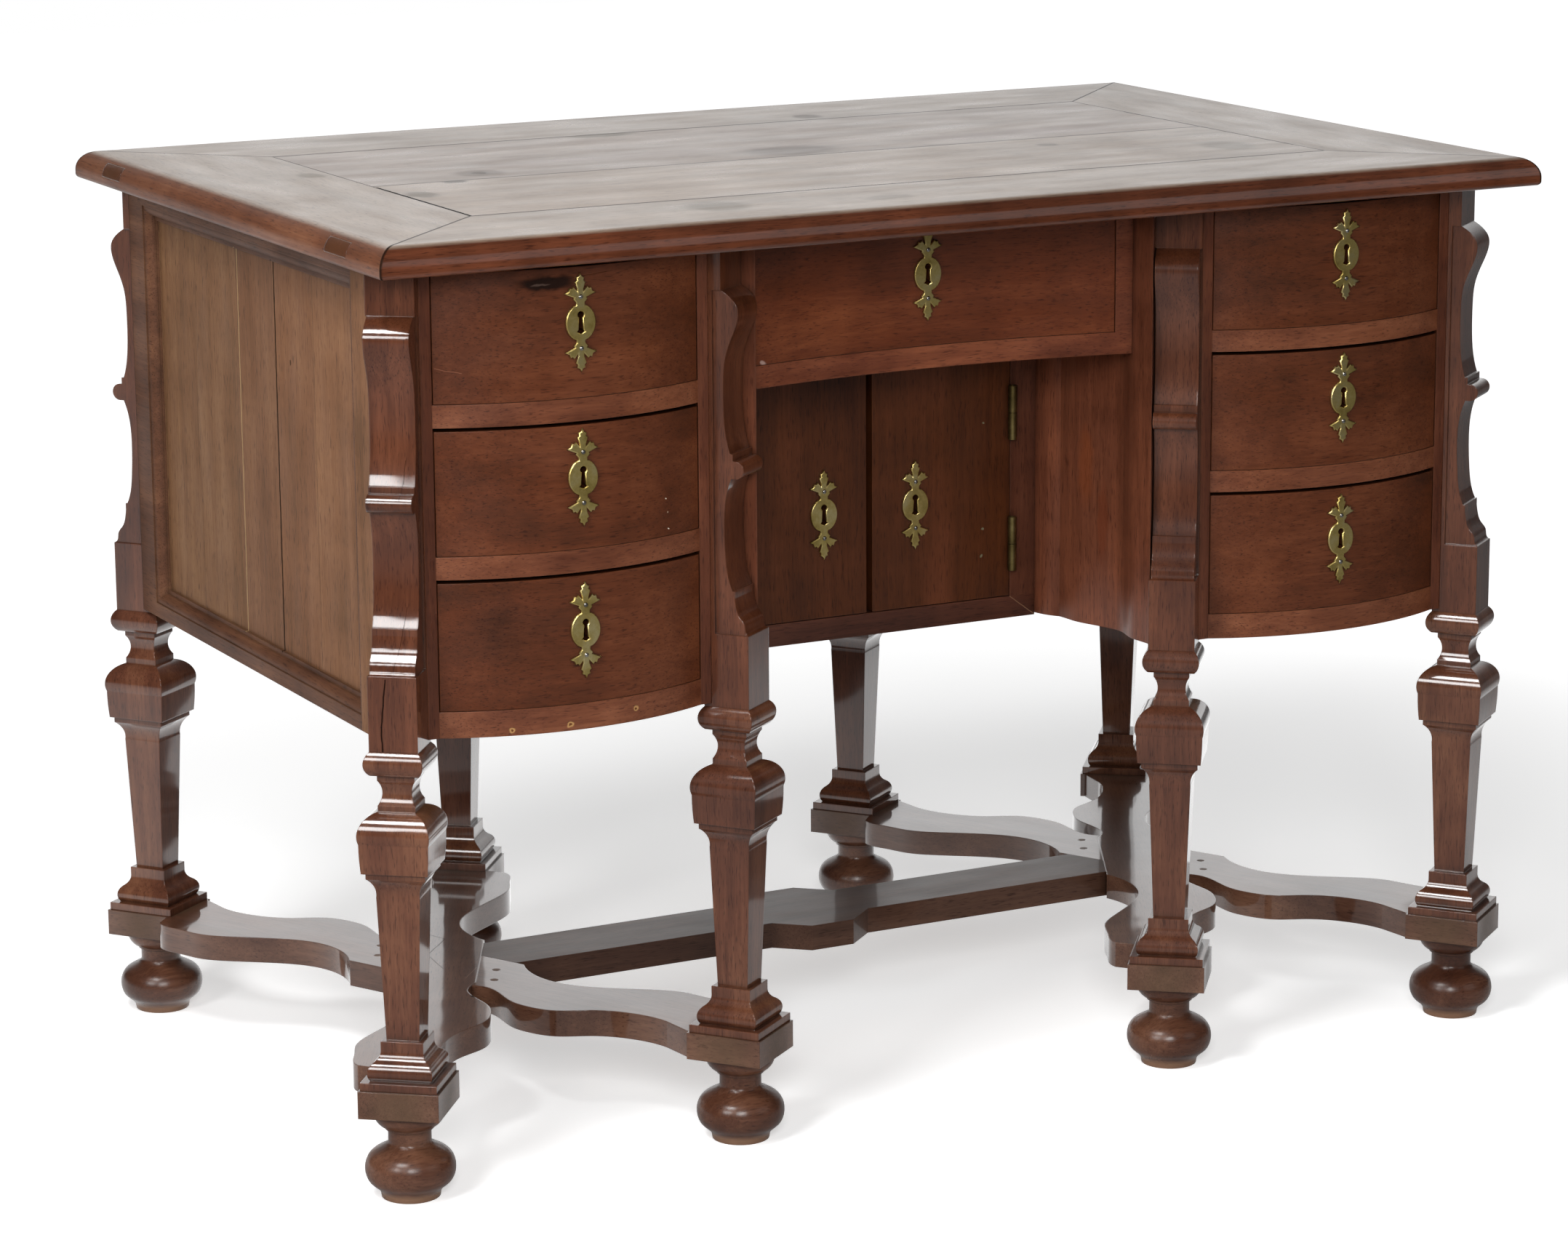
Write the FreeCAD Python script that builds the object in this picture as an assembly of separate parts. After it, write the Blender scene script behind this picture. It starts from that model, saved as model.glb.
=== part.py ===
import FreeCAD, Part
import math
import os

# A kneehole desk on eight legs, in mm
# The origin is on the floor under the middle, the front faces -Y and +Z is up

# Overall size
desk_height = 800.0
top_length = 1110.0
top_depth = 714.0
top_thickness = 25.0
leg_top_share = 0.479

# Table top: a mitred frame round two boards
top_rail_width = 138.0
top_round_radius = 17.6
top_under_radius = 4.0
field_joint_y = -12.0
top_tenon_width = 45.0
top_tenon_thickness = 12.0
top_tenon_drop = 4.0
top_tenon_inset = 94.0

# Places of the legs and their turn out of square
outer_leg_inset_x = 32.0
inner_leg_x = 216.0
leg_inset_y = 61.0
leg_turn_degrees = 38.0

# Bun feet
foot_height = 75.0
foot_base_radius = 24.6
foot_base_height = 4.2
foot_bun_start_radius = 25.2
foot_bun_radius = 37.8
foot_neck_radius = 18.0
foot_neck_height = 9.0
foot_bead_radius = 20.5
foot_bead_height = 2.0
foot_disc_start_radius = 22.0
foot_disc_radius = 30.0
foot_disc_height = 14.0
foot_disc_round_share = 0.75
foot_disc_rise_share = 0.4
foot_dowel_radius = 8.0
foot_dowel_reach = 24.0

# Stretchers
stretcher_thickness = 23.5
plinth_width = 68.5
stretcher_width = 114.0
cross_width = 70.0
cross_middle_width = 120.0
cross_middle_flat = 43.0
cross_middle_length = 100.0
peg_radius = 3.5
peg_inset = 16.0
peg_spacing = 30.0

# Square tapered legs
torus_width = 50.0
torus_height = 20.0
neck_fillet_width = 31.5
neck_fillet_height = 5.0
neck_width = 25.0
scotia_height = 21.0
cup_width = 58.5
cup_foot_width = 56.0
cup_height = 50.0
cup_fillet_width = 50.0
cup_fillet_height = 5.0
cavetto_height = 17.0
shaft_top_width = 36.6
shaft_bottom_width = 27.8
base_fillet_width = 36.0
base_fillet_height = 8.0
base_bulge_width = 54.5
base_foot_width = 51.0
base_height = 24.0
slab_width = 65.0
slab_height = 7.0
leg_dowel_radius = 8.0
leg_dowel_reach = 30.0
dowel_clearance = 0.05

# Corner posts and their carved consoles
post_width = 41.0
post_block_height = 63.0
post_face_setback = 22.5
console_width = 38.0
console_drop = 39.0
console_bed_depth = 8.0
console_ring_reach = 18.8
console_ring_height = 15.0
console_fillet_height = 6.0

# Case
case_lift = 3.0
side_overhang = 21.0
front_plane_inset = 59.0
side_rail_height = 10.0
side_stile_width = 35.0
moulding_width = 16.0
moulding_height = 11.0
moulding_fillet_share = 0.19
moulding_toe_share = 0.75
moulding_toe_height_share = 0.22
moulding_round_share = 0.72
side_joint_shares = [-0.54, -0.19, 0.16, 0.58]
stile_lap_share = 0.4
side_board_thickness = 10.0
bottom_board_thickness = 10.0
back_frame_thickness = 22.0
back_rail_height = 45.0
back_stile_width = 40.0
back_panel_thickness = 8.0
back_groove_depth = 7.0

# Pedestal fronts
opening_inset = 34.5
stile_depth = 36.0
front_bow = 28.0
bottom_rail_height = 22.0
rail_height = 19.0
bottom_opening_share = 0.334
middle_opening_share = 0.322
runner_bearing = 12.0
guide_height = 18.0

# Kneehole
kneehole_face_inset = 18.0
kneehole_wall_thickness = 14.0
kneehole_wall_swell = 17.0
kneehole_depth = 166.0
cupboard_side_gap = 2.0
cupboard_opening_inset = 54.0
cupboard_stile_width = 26.0
cupboard_frame_thickness = 20.0
cupboard_rail_height = 20.0
cupboard_drop = 2.0
cupboard_stop_size = 10.0

# Centre drawer
centre_opening_inset = 20.5
centre_rail_drop = 2.0
centre_rail_height = 19.5
centre_front_depth = 39.0
centre_front_hollow = 19.0
centre_front_setback = 42.0
ceiling_thickness = 8.0
centre_box_gap = 80.0

# Drawers
drawer_side_gap = 1.0
drawer_floor_gap = 0.4
drawer_top_gap = 3.0
top_drawer_top_gap = 6.0
drawer_end_thickness = 20.0
drawer_side_thickness = 10.0
drawer_back_thickness = 10.0
drawer_side_drop = 6.0
drawer_back_gap = 20.0
drawer_bottom_thickness = 7.0
drawer_bottom_lift = 4.0
drawer_groove_depth = 4.0
dovetail_length = 12.0
dovetail_count = 3
dovetail_neck_share = 0.5
dovetail_tip_share = 0.68

# Escutcheons, keyholes and locks
escutcheon_rise = 8.0
escutcheon_thickness = 1.4
escutcheon_oval_width = 26.0
escutcheon_oval_height = 30.0
finial_width = 27.0
finial_height = 25.0
finial_root_share = 0.8
escutcheon_pin_rise = 21.0
escutcheon_pin_radius = 0.8
escutcheon_pin_length = 9.0
escutcheon_pin_head_radius = 1.9
keyhole_head_radius = 3.1
keyhole_height = 19.0
keyhole_stem_top_width = 3.6
keyhole_stem_foot_width = 4.8
keyhole_foot_width = 8.0
keyhole_foot_height = 3.6
lock_width = 56.0
lock_height = 38.0
lock_thickness = 9.0
lock_bolt_width = 18.0
lock_bolt_height = 14.0
lock_bolt_thickness = 4.0
key_pin_radius = 1.2
key_pin_length = 12.0

# Cupboard doors and hinges
door_thickness = 18.0
door_floor_gap = 0.8
door_top_gap = 3.0
door_side_gap = 0.5
door_meeting_gap = 6.0
door_escutcheon_x = 46.0
door_escutcheon_rise = 94.0
hinge_height = 49.0
hinge_lower_rise = 24.0
hinge_upper_drop = 40.0
hinge_barrel_radius = 4.0
hinge_pin_radius = 2.0
hinge_pin_clearance = 0.05
hinge_plate_thickness = 1.2
hinge_plate_depth = 16.0
hinge_gap = 0.4

# Levels that follow from the sizes above
overrun = 5.0
case_top_z = desk_height - top_thickness
stretcher_top_z = foot_height + stretcher_thickness
leg_top_z = desk_height * leg_top_share
post_block_top_z = leg_top_z + post_block_height
console_top_z = case_top_z - console_drop
console_height = console_top_z - post_block_top_z
case_bottom_z = leg_top_z + case_lift
bottom_rail_top_z = case_bottom_z + bottom_rail_height
openings_height = case_top_z - bottom_rail_top_z - 2 * rail_height
lower_rail_bottom_z = bottom_rail_top_z + openings_height * bottom_opening_share
lower_rail_top_z = lower_rail_bottom_z + rail_height
upper_rail_bottom_z = lower_rail_top_z + openings_height * middle_opening_share
upper_rail_top_z = upper_rail_bottom_z + rail_height
centre_rail_bottom_z = upper_rail_bottom_z - centre_rail_drop
centre_rail_top_z = centre_rail_bottom_z + centre_rail_height
bottom_board_top_z = case_bottom_z + bottom_board_thickness
cupboard_bottom_z = case_bottom_z - cupboard_drop
cupboard_rail_top_z = cupboard_bottom_z + cupboard_rail_height
door_escutcheon_z = cupboard_rail_top_z + door_escutcheon_rise

# Plan places that follow from the sizes above
outer_leg_x = top_length / 2 - outer_leg_inset_x
pedestal_leg_span = outer_leg_x - inner_leg_x
leg_y = top_depth / 2 - leg_inset_y
pedestal_x = (outer_leg_x + inner_leg_x) / 2
opening_half_width = pedestal_leg_span / 2 - opening_inset
side_x = top_length / 2 - side_overhang
side_inner_x = side_x - moulding_height - side_board_thickness
front_y = front_plane_inset - top_depth / 2
rear_y = -front_y
rail_back_y = front_y + stile_depth
back_inner_y = rear_y - back_frame_thickness
kneehole_half_width = inner_leg_x - kneehole_face_inset
wall_outer_x = kneehole_half_width + kneehole_wall_thickness
cupboard_half_width = kneehole_half_width - cupboard_side_gap
cupboard_opening_half_width = kneehole_half_width - cupboard_opening_inset
centre_opening_half_width = kneehole_half_width - centre_opening_inset
door_plane_y = front_y + kneehole_depth
cupboard_frame_x = cupboard_opening_half_width + cupboard_stile_width
cupboard_frame_back_y = door_plane_y + cupboard_frame_thickness
centre_front_y = front_y + centre_front_setback
centre_rail_back_y = centre_front_y + centre_front_depth

origin = FreeCAD.Vector(0, 0, 0)
up = FreeCAD.Vector(0, 0, 1)
right = FreeCAD.Vector(1, 0, 0)
back = FreeCAD.Vector(0, 1, 0)


def vector(x, y, z=0.0):
    return FreeCAD.Vector(x, y, z)


def box(x0, x1, y0, y1, z0, z1):
    return Part.makeBox(x1 - x0, y1 - y0, z1 - z0, vector(x0, y0, z0))


# An outline's steps: a point ends a line, a pair is an arc's middle and end, and a longer list
# is a smooth curve through its points
def outline_edges(start, steps):
    edges = []
    here = start
    for step in steps:
        if isinstance(step, FreeCAD.Vector):
            edges.append(Part.makeLine(here, step))
            here = step
        elif len(step) == 2:
            edges.append(Part.Arc(here, step[0], step[1]).toShape())
            here = step[1]
        else:
            curve = Part.BSplineCurve()
            curve.interpolate([here] + step)
            edges.append(curve.toShape())
            here = step[-1]
    return edges


def closed_face(start, steps):
    return Part.Face(Part.Wire(outline_edges(start, steps + [start])))


def polygon_prism(points, direction):
    return closed_face(points[0], points[1:]).extrude(direction)


def upright_prism(points, z0, z1):
    flat = [vector(x, y, z0) for x, y in points]
    return polygon_prism(flat, up * (z1 - z0))


def cut_all(shape, tools):
    for tool in tools:
        shape = shape.cut(tool)
    return shape


def flipped(shape, direction):
    return shape.mirror(origin, direction)


def largest_solids(shape, count):
    ordered = sorted(shape.Solids, key=lambda solid: solid.Volume)
    return ordered[-count:]


def save(name, shapes):
    solids = []
    for shape in shapes:
        solids.extend(shape.Solids)
    whole = solids[0] if len(solids) == 1 else Part.makeCompound(solids)
    whole.exportStep("parts/" + name + ".step")


# A node for the right side of the desk and its mirror image for the left
def save_pair(name, shapes):
    save("right_" + name, shapes)
    save("left_" + name, [flipped(shape, right) for shape in shapes])


# The four kinds of corner: name, place and turn of each post, leg and foot
def leg_places():
    places = {}
    for end, end_sign in (("front", -1), ("back", 1)):
        for hand, hand_sign in (("left", -1), ("right", 1)):
            for ring, x, turn_sign in (("outer", outer_leg_x, 1), ("inner", inner_leg_x, -1)):
                turn = hand_sign * turn_sign * leg_turn_degrees
                if end == "back":
                    turn = 180 - turn
                places[end + "_" + hand + "_" + ring] = (hand_sign * x, end_sign * leg_y, turn)
    return places


def placed(shape, place):
    x, y, turn = place
    moved = shape.copy()
    moved.rotate(origin, up, turn)
    moved.translate(vector(x, y))
    return moved


# A shape whose four sides all show the same profile, as a planed square leg has
def square_worked(start, steps):
    side = outline_edges(start, steps)
    other = [flipped(edge, right) for edge in side]
    top_z = side[-1].lastVertex(True).Point.z
    top_half = side[-1].lastVertex(True).Point.x
    bottom = Part.makeLine(vector(-start.x, 0, start.z), start)
    top = Part.makeLine(vector(-top_half, 0, top_z), vector(top_half, 0, top_z))
    face = Part.Face(Part.Wire(Part.__sortEdges__(side + other + [bottom, top])))
    reach = face.BoundBox.XLength + overrun
    face.translate(back * (-reach / 2))
    first = face.extrude(back * reach)
    second = first.copy()
    second.rotate(origin, up, 90)
    return first.common(second)


def leg():
    def at(width, z):
        return vector(width / 2, 0, z)

    slab_top = stretcher_top_z + slab_height
    base_top = slab_top + base_height
    shaft_bottom = base_top + base_fillet_height
    torus_bottom = leg_top_z - torus_height
    scotia_top = torus_bottom - neck_fillet_height
    scotia_bottom = scotia_top - scotia_height
    cup_top = scotia_bottom - neck_fillet_height
    cup_bottom = cup_top - cup_height
    cavetto_top = cup_bottom - cup_fillet_height
    shaft_top = cavetto_top - cavetto_height
    cup_belly_share = 0.25
    ogee_turn_share = 0.64
    ogee_bulge_share = 0.38
    ogee_hollow_share = 0.24
    shoulder_width_share = 0.74
    shoulder_height_share = 0.12
    cavetto_width_share = 0.25
    cavetto_height_share = 0.62
    scotia_height_share = 0.6
    hollow_width_share = 0.38
    ogee_turn_width = (base_fillet_width + base_bulge_width) / 2
    base_hollow_width = base_fillet_width + (ogee_turn_width - base_fillet_width) * hollow_width_share
    torus_edge_width = (torus_width + neck_fillet_width) / 2
    cup_belly_z = cup_bottom + cup_height / 2
    shoulder_width = neck_fillet_width + (cup_width - neck_fillet_width) * shoulder_width_share
    cup_flank_width = cup_width - (cup_width - cup_foot_width) * cup_belly_share
    cavetto_middle_width = shaft_top_width + (cup_fillet_width - shaft_top_width) * cavetto_width_share
    cavetto_middle_z = shaft_top + cavetto_height * cavetto_height_share
    scotia_middle_z = scotia_bottom + scotia_height * scotia_height_share
    steps = [
        at(slab_width, slab_top),
        at(base_foot_width, slab_top),
        (
            at(base_bulge_width, slab_top + base_height * ogee_bulge_share),
            at(ogee_turn_width, slab_top + base_height * ogee_turn_share),
        ),
        (
            at(base_hollow_width, base_top - base_height * ogee_hollow_share),
            at(base_fillet_width, base_top),
        ),
        at(base_fillet_width, shaft_bottom),
        at(shaft_bottom_width, shaft_bottom),
        at(shaft_top_width, shaft_top),
        (at(cavetto_middle_width, cavetto_middle_z), at(cup_fillet_width, cavetto_top)),
        at(cup_fillet_width, cup_bottom),
        at(cup_foot_width, cup_bottom),
        (at(cup_flank_width, cup_bottom + cup_height / 4), at(cup_width, cup_belly_z)),
        (at(shoulder_width, cup_top - cup_height * shoulder_height_share), at(neck_fillet_width, cup_top)),
        at(neck_fillet_width, scotia_bottom),
        (at(neck_width, scotia_middle_z), at(neck_fillet_width, scotia_top)),
        at(neck_fillet_width, torus_bottom),
        at(torus_edge_width, torus_bottom),
        (at(torus_width, torus_bottom + torus_height / 2), at(torus_edge_width, leg_top_z)),
    ]
    body = square_worked(at(slab_width, stretcher_top_z), steps)
    dowel = Part.makeCylinder(leg_dowel_radius, leg_dowel_reach, vector(0, 0, leg_top_z))
    socket = Part.makeCylinder(
        foot_dowel_radius + dowel_clearance, foot_dowel_reach, vector(0, 0, stretcher_top_z)
    )
    return body.fuse(dowel).cut(socket)


# Bun of a foot: shares of its reach beyond the neck and of its height, from its base ring to its neck
foot_bun_shares = [
    (0.554, 0.105), (0.8, 0.194), (0.952, 0.314), (1.0, 0.448), (0.952, 0.581), (0.8, 0.7),
    (0.529, 0.79), (0.252, 0.849), (0.05, 0.908), (0.0, 1.0)
]


def foot():
    def at(radius, z):
        return vector(radius, 0, z)

    disc_bottom = foot_height - foot_disc_height
    bead_bottom = disc_bottom - foot_bead_height
    bun_top = bead_bottom - foot_neck_height
    bun_height = bun_top - foot_base_height
    bun_reach = foot_bun_radius - foot_neck_radius
    bun = []
    for reach_share, height_share in foot_bun_shares:
        radius = foot_neck_radius + bun_reach * reach_share
        bun.append(at(radius, foot_base_height + bun_height * height_share))
    disc_reach = foot_disc_radius - foot_disc_start_radius
    disc_round = at(
        foot_disc_start_radius + disc_reach * foot_disc_round_share,
        disc_bottom + foot_disc_height * foot_disc_rise_share,
    )
    dowel_top = stretcher_top_z + foot_dowel_reach - overrun
    face = closed_face(
        at(0, 0),
        [
            at(foot_base_radius, 0),
            at(foot_bun_start_radius, foot_base_height),
            bun,
            at(foot_neck_radius, bead_bottom),
            at(foot_bead_radius, bead_bottom),
            at(foot_bead_radius, disc_bottom),
            at(foot_disc_start_radius, disc_bottom),
            (disc_round, at(foot_disc_radius, foot_height)),
            at(foot_dowel_radius, foot_height),
            at(foot_dowel_radius, dowel_top),
            at(0, dowel_top),
        ],
    )
    return face.revolve(origin, up, 360)


# Console face: shares of its projection and of its height, from its foot to its top
console_foot_shares = [(1.0, 0.0), (0.88, 0.008), (0.83, 0.03), (0.6, 0.055), (0.47, 0.085), (0.43, 0.107)]
console_lower_shares = [
    (0.347, 0.128), (0.213, 0.155), (0.084, 0.221), (0.031, 0.317), (0.124, 0.407), (0.33, 0.457)
]
console_upper_shares = [
    (0.29, 0.53), (0.156, 0.568), (0.053, 0.641), (0.044, 0.738), (0.124, 0.807), (0.351, 0.859),
    (0.6, 0.907), (0.636, 0.952), (0.333, 0.983), (0.0, 1.0)
]
console_fillet_reach_share = 0.4


def console():
    foot_face_y = -post_width / 2
    face_y = foot_face_y + post_face_setback
    bed_y = face_y + console_bed_depth

    def at(reach_share, height_share):
        y = face_y - post_face_setback * reach_share
        return vector(-console_width / 2, y, post_block_top_z + console_height * height_share)

    foot_top = at(*console_foot_shares[-1])
    lower_start = at(*console_lower_shares[0])
    ring_bottom = at(*console_lower_shares[-1])
    upper_start = at(*console_upper_shares[0])
    side_x = ring_bottom.x
    ring_round = console_ring_height / 2
    ring_top_z = ring_bottom.z + console_ring_height
    ring_shoulder_y = face_y - console_ring_reach + ring_round
    ring_tip = vector(side_x, face_y - console_ring_reach, ring_bottom.z + ring_round)
    fillet_y = at(console_fillet_reach_share, 0).y
    fillet_top_z = ring_top_z + console_fillet_height
    face = closed_face(
        vector(side_x, bed_y, post_block_top_z),
        [
            at(*console_foot_shares[0]),
            [at(*share) for share in console_foot_shares[1:]],
            vector(side_x, foot_top.y, lower_start.z),
            lower_start,
            [at(*share) for share in console_lower_shares[1:]],
            vector(side_x, ring_shoulder_y, ring_bottom.z),
            (ring_tip, vector(side_x, ring_shoulder_y, ring_top_z)),
            vector(side_x, fillet_y, ring_top_z),
            vector(side_x, fillet_y, fillet_top_z),
            vector(side_x, upper_start.y, fillet_top_z),
            [at(*share) for share in console_upper_shares[1:]],
            vector(side_x, bed_y, console_top_z),
        ],
    )
    return face.extrude(right * console_width)


def post():
    half = post_width / 2
    face_y = -half + post_face_setback
    block = box(-half, half, -half, half, leg_top_z, post_block_top_z)
    shaft = box(-half, half, face_y, half, post_block_top_z, case_top_z)
    bed_half = half + overrun
    bed_back_y = face_y + console_bed_depth
    bed = box(-bed_half, bed_half, face_y - overrun, bed_back_y, post_block_top_z, console_top_z)
    socket = Part.makeCylinder(
        leg_dowel_radius + dowel_clearance, leg_dowel_reach + overrun, vector(0, 0, leg_top_z)
    )
    return block.fuse(shaft.cut(bed)).removeSplitter().cut(socket)


# Stretcher edge: shares of half the length and half the width, from the back leg to the front
stretcher_joint_share = 0.675
stretcher_back_shares = [
    (0.873, 0.8), (0.8456, 0.877), (0.7886, 0.895), (0.7106, 0.912), (0.6207, 0.737), (0.5307, 0.474),
    (0.3958, 0.228), (0.3688, 0.228), (0.2789, 0.368), (0.2069, stretcher_joint_share)
]
stretcher_front_shares = [
    (-0.1829, stretcher_joint_share), (-0.2219, 0.596), (-0.2489, 0.58), (-0.2909, 0.65), (-0.3388, 0.807),
    (-0.3958, 0.965), (-0.4348, 1.0), (-0.5247, 0.93), (-0.5997, 0.614), (-0.7106, 0.386), (-0.82, 0.42)
]
stretcher_end_share = (-0.92, 0.64)
stretcher_ear_share = (0.9, 0.42)


def stretcher_angle():
    return math.atan2(pedestal_leg_span, 2 * leg_y)


# The long plank of the pedestal on the right, from the front inner leg to the back outer leg
def long_plank():
    angle = stretcher_angle()
    along = vector(math.sin(angle), math.cos(angle))
    across = vector(math.cos(angle), -math.sin(angle))
    centre = vector(pedestal_x, 0, foot_height)
    half_length = math.hypot(pedestal_leg_span, 2 * leg_y) / 2

    def at(share, sign):
        step = along * (half_length * share[0] * sign)
        return centre + step + across * (stretcher_width / 2 * share[1] * sign)

    steps = []
    for sign in (1, -1):
        steps.append(at(stretcher_ear_share, sign))
        steps.append(at(stretcher_back_shares[0], sign))
        steps.append([at(share, sign) for share in stretcher_back_shares[1:]])
        steps.append(at(stretcher_front_shares[0], sign))
        steps.append([at(share, sign) for share in stretcher_front_shares[1:]])
        steps.append(at(stretcher_end_share, sign))
        steps.append(at((-1, 0), sign))
    board = closed_face(at((1, 0), 1), steps[:-1]).extrude(up * stretcher_thickness)
    half = plinth_width / 2
    plinth = box(-half, half, -half, half, foot_height, stretcher_top_z)
    places = leg_places()
    front = placed(plinth, places["front_right_inner"])
    rear = placed(plinth, places["back_right_outer"])
    return board.fuse(front).fuse(rear).removeSplitter()


def cross_stretcher():
    half = cross_width / 2
    points = []
    for sign in (-1, 1):
        turns = [
            (-pedestal_x, half),
            (-cross_middle_length / 2, half),
            (-cross_middle_flat / 2, cross_middle_width / 2),
            (cross_middle_flat / 2, cross_middle_width / 2),
            (cross_middle_length / 2, half),
            (pedestal_x, half),
        ]
        points.extend([(-sign * x, sign * y) for x, y in turns])
    return upright_prism(points, foot_height, stretcher_top_z)


def arm_pegs():
    angle = stretcher_angle()
    half_joint = stretcher_width / 2 * stretcher_joint_share
    reach = (half_joint + peg_inset) / math.sin(2 * angle)
    along = vector(math.sin(angle), math.cos(angle))
    arm = vector(math.sin(angle), -math.cos(angle))
    pegs = []
    for arm_sign in (-1, 1):
        for peg_sign in (-1, 1):
            middle = vector(pedestal_x, 0, foot_height) + arm * (arm_sign * reach)
            place = middle + along * (peg_sign * peg_spacing / 2)
            pegs.append(Part.makeCylinder(peg_radius, stretcher_thickness, place))
    return pegs


def dowel_holes():
    radius = foot_dowel_radius + dowel_clearance
    low = vector(0, 0, foot_height - overrun)
    hole = Part.makeCylinder(radius, stretcher_thickness + 2 * overrun, low)
    return [placed(hole, place) for place in leg_places().values()]


def make_stretchers():
    plank = long_plank()
    arms = largest_solids(flipped(plank, back).cut(plank), 2)
    pegs = arm_pegs()
    holes = dowel_holes()
    cross = cross_stretcher()
    every_peg = []
    for name, mirrored in (("right", False), ("left", True)):
        side = [plank] + arms
        side_pegs = pegs
        if mirrored:
            half_turn = [shape.copy() for shape in side + side_pegs]
            for shape in half_turn:
                shape.rotate(origin, up, 180)
            side = half_turn[:3]
            side_pegs = half_turn[3:]
        cross = cut_all(cross, side)
        save(name + "_long_stretcher", [cut_all(side[0], holes)])
        for arm in side[1:]:
            end = "front" if arm.CenterOfMass.y < 0 else "back"
            save(end + "_" + name + "_stretcher_arm", [cut_all(arm, side_pegs + holes)])
        every_peg.extend(side_pegs)
    save("cross_stretcher", largest_solids(cross, 1))
    save("stretcher_pegs", every_peg)


def make_legs():
    leg_shape = leg()
    foot_shape = foot()
    post_shape = post()
    console_shape = console()
    for name, place in leg_places().items():
        save(name + "_leg", [placed(leg_shape, place)])
        save(name + "_post", [placed(post_shape, place), placed(console_shape, place)])
    save("bun_feet", [placed(foot_shape, place) for place in leg_places().values()])


# The solid of one top rail before its mitres, moulded along its outer edge
def top_edge_profile():
    rim_z = desk_height - top_round_radius
    under_z = case_top_z + top_under_radius
    bend = math.sqrt(0.5)
    round_middle = vector(0, top_round_radius * (1 - bend), rim_z + top_round_radius * bend)
    under_middle = vector(0, top_under_radius * (1 - bend), under_z - top_under_radius * bend)
    return closed_face(
        vector(0, top_under_radius, case_top_z),
        [
            (under_middle, vector(0, 0, under_z)),
            vector(0, 0, rim_z),
            (round_middle, vector(0, top_round_radius, desk_height)),
            vector(0, top_rail_width, desk_height),
            vector(0, top_rail_width, case_top_z),
        ],
    )


# A top rail along X that lies at -Y, as long as the top measures that way
def top_rail(length, depth):
    strip = top_edge_profile().extrude(right * length)
    strip.translate(vector(-length / 2, -depth / 2))
    half = length / 2
    inner = half - top_rail_width
    mitres = [
        (-half, -depth / 2),
        (half, -depth / 2),
        (inner, top_rail_width - depth / 2),
        (-inner, top_rail_width - depth / 2),
    ]
    return strip.common(upright_prism(mitres, case_top_z, desk_height))


def make_top():
    front_rail = top_rail(top_length, top_depth)
    right_rail = top_rail(top_depth, top_length)
    right_rail.rotate(origin, up, 90)
    tenon_y = top_tenon_inset - top_depth / 2
    tenon_top = desk_height - top_tenon_drop
    tenon = box(
        top_length / 2 - top_rail_width,
        top_length / 2,
        tenon_y - top_tenon_width / 2,
        tenon_y + top_tenon_width / 2,
        tenon_top - top_tenon_thickness,
        tenon_top,
    )
    tenon = tenon.common(right_rail)
    right_rail = right_rail.cut(tenon).cut(flipped(tenon, back))
    front_rail = front_rail.fuse(tenon).fuse(flipped(tenon, right)).removeSplitter()
    save("top_front_rail", [front_rail])
    save("top_back_rail", [flipped(front_rail, back)])
    save("top_right_rail", [right_rail])
    save("top_left_rail", [flipped(right_rail, right)])
    half_x = top_length / 2 - top_rail_width
    half_y = top_depth / 2 - top_rail_width
    boards = [
        box(-half_x, half_x, -half_y, field_joint_y, case_top_z, desk_height),
        box(-half_x, half_x, field_joint_y, half_y, case_top_z, desk_height),
    ]
    save("top_field_boards", boards)


# The eight posts as plain square columns, which the case pieces are cut to fit
def post_columns():
    half = post_width / 2
    column = box(-half, half, -half, half, leg_top_z, case_top_z)
    return [placed(column, place) for place in leg_places().values()]


# One length of a side panel's moulding: it starts at (y, z), runs along one way and widens another
def moulding_strip(y, z, run, inward):
    start = vector(side_inner_x + side_board_thickness, y, z)
    fillet = moulding_width * moulding_fillet_share
    toe_u = moulding_width * moulding_toe_share
    toe = moulding_height * moulding_toe_height_share
    crest = moulding_height - toe / 2

    def at(u, h):
        return start + inward * u + right * h

    round_u = fillet + (toe_u - fillet) * moulding_round_share
    round_h = toe + (crest - toe) * moulding_round_share
    face = closed_face(
        at(0, 0),
        [
            at(0, moulding_height),
            at(fillet, moulding_height),
            at(fillet, crest),
            (at(round_u, round_h), at(toe_u, toe)),
            at(moulding_width, toe),
            at(moulding_width, 0),
        ],
    )
    strip = face.extrude(run)
    mitre = run * (moulding_width / run.Length)
    inner_edge = inward * moulding_width
    corners = [start, start + run, start + run - mitre + inner_edge, start + mitre + inner_edge]
    return strip.common(polygon_prism(corners, right * moulding_height))


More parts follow.
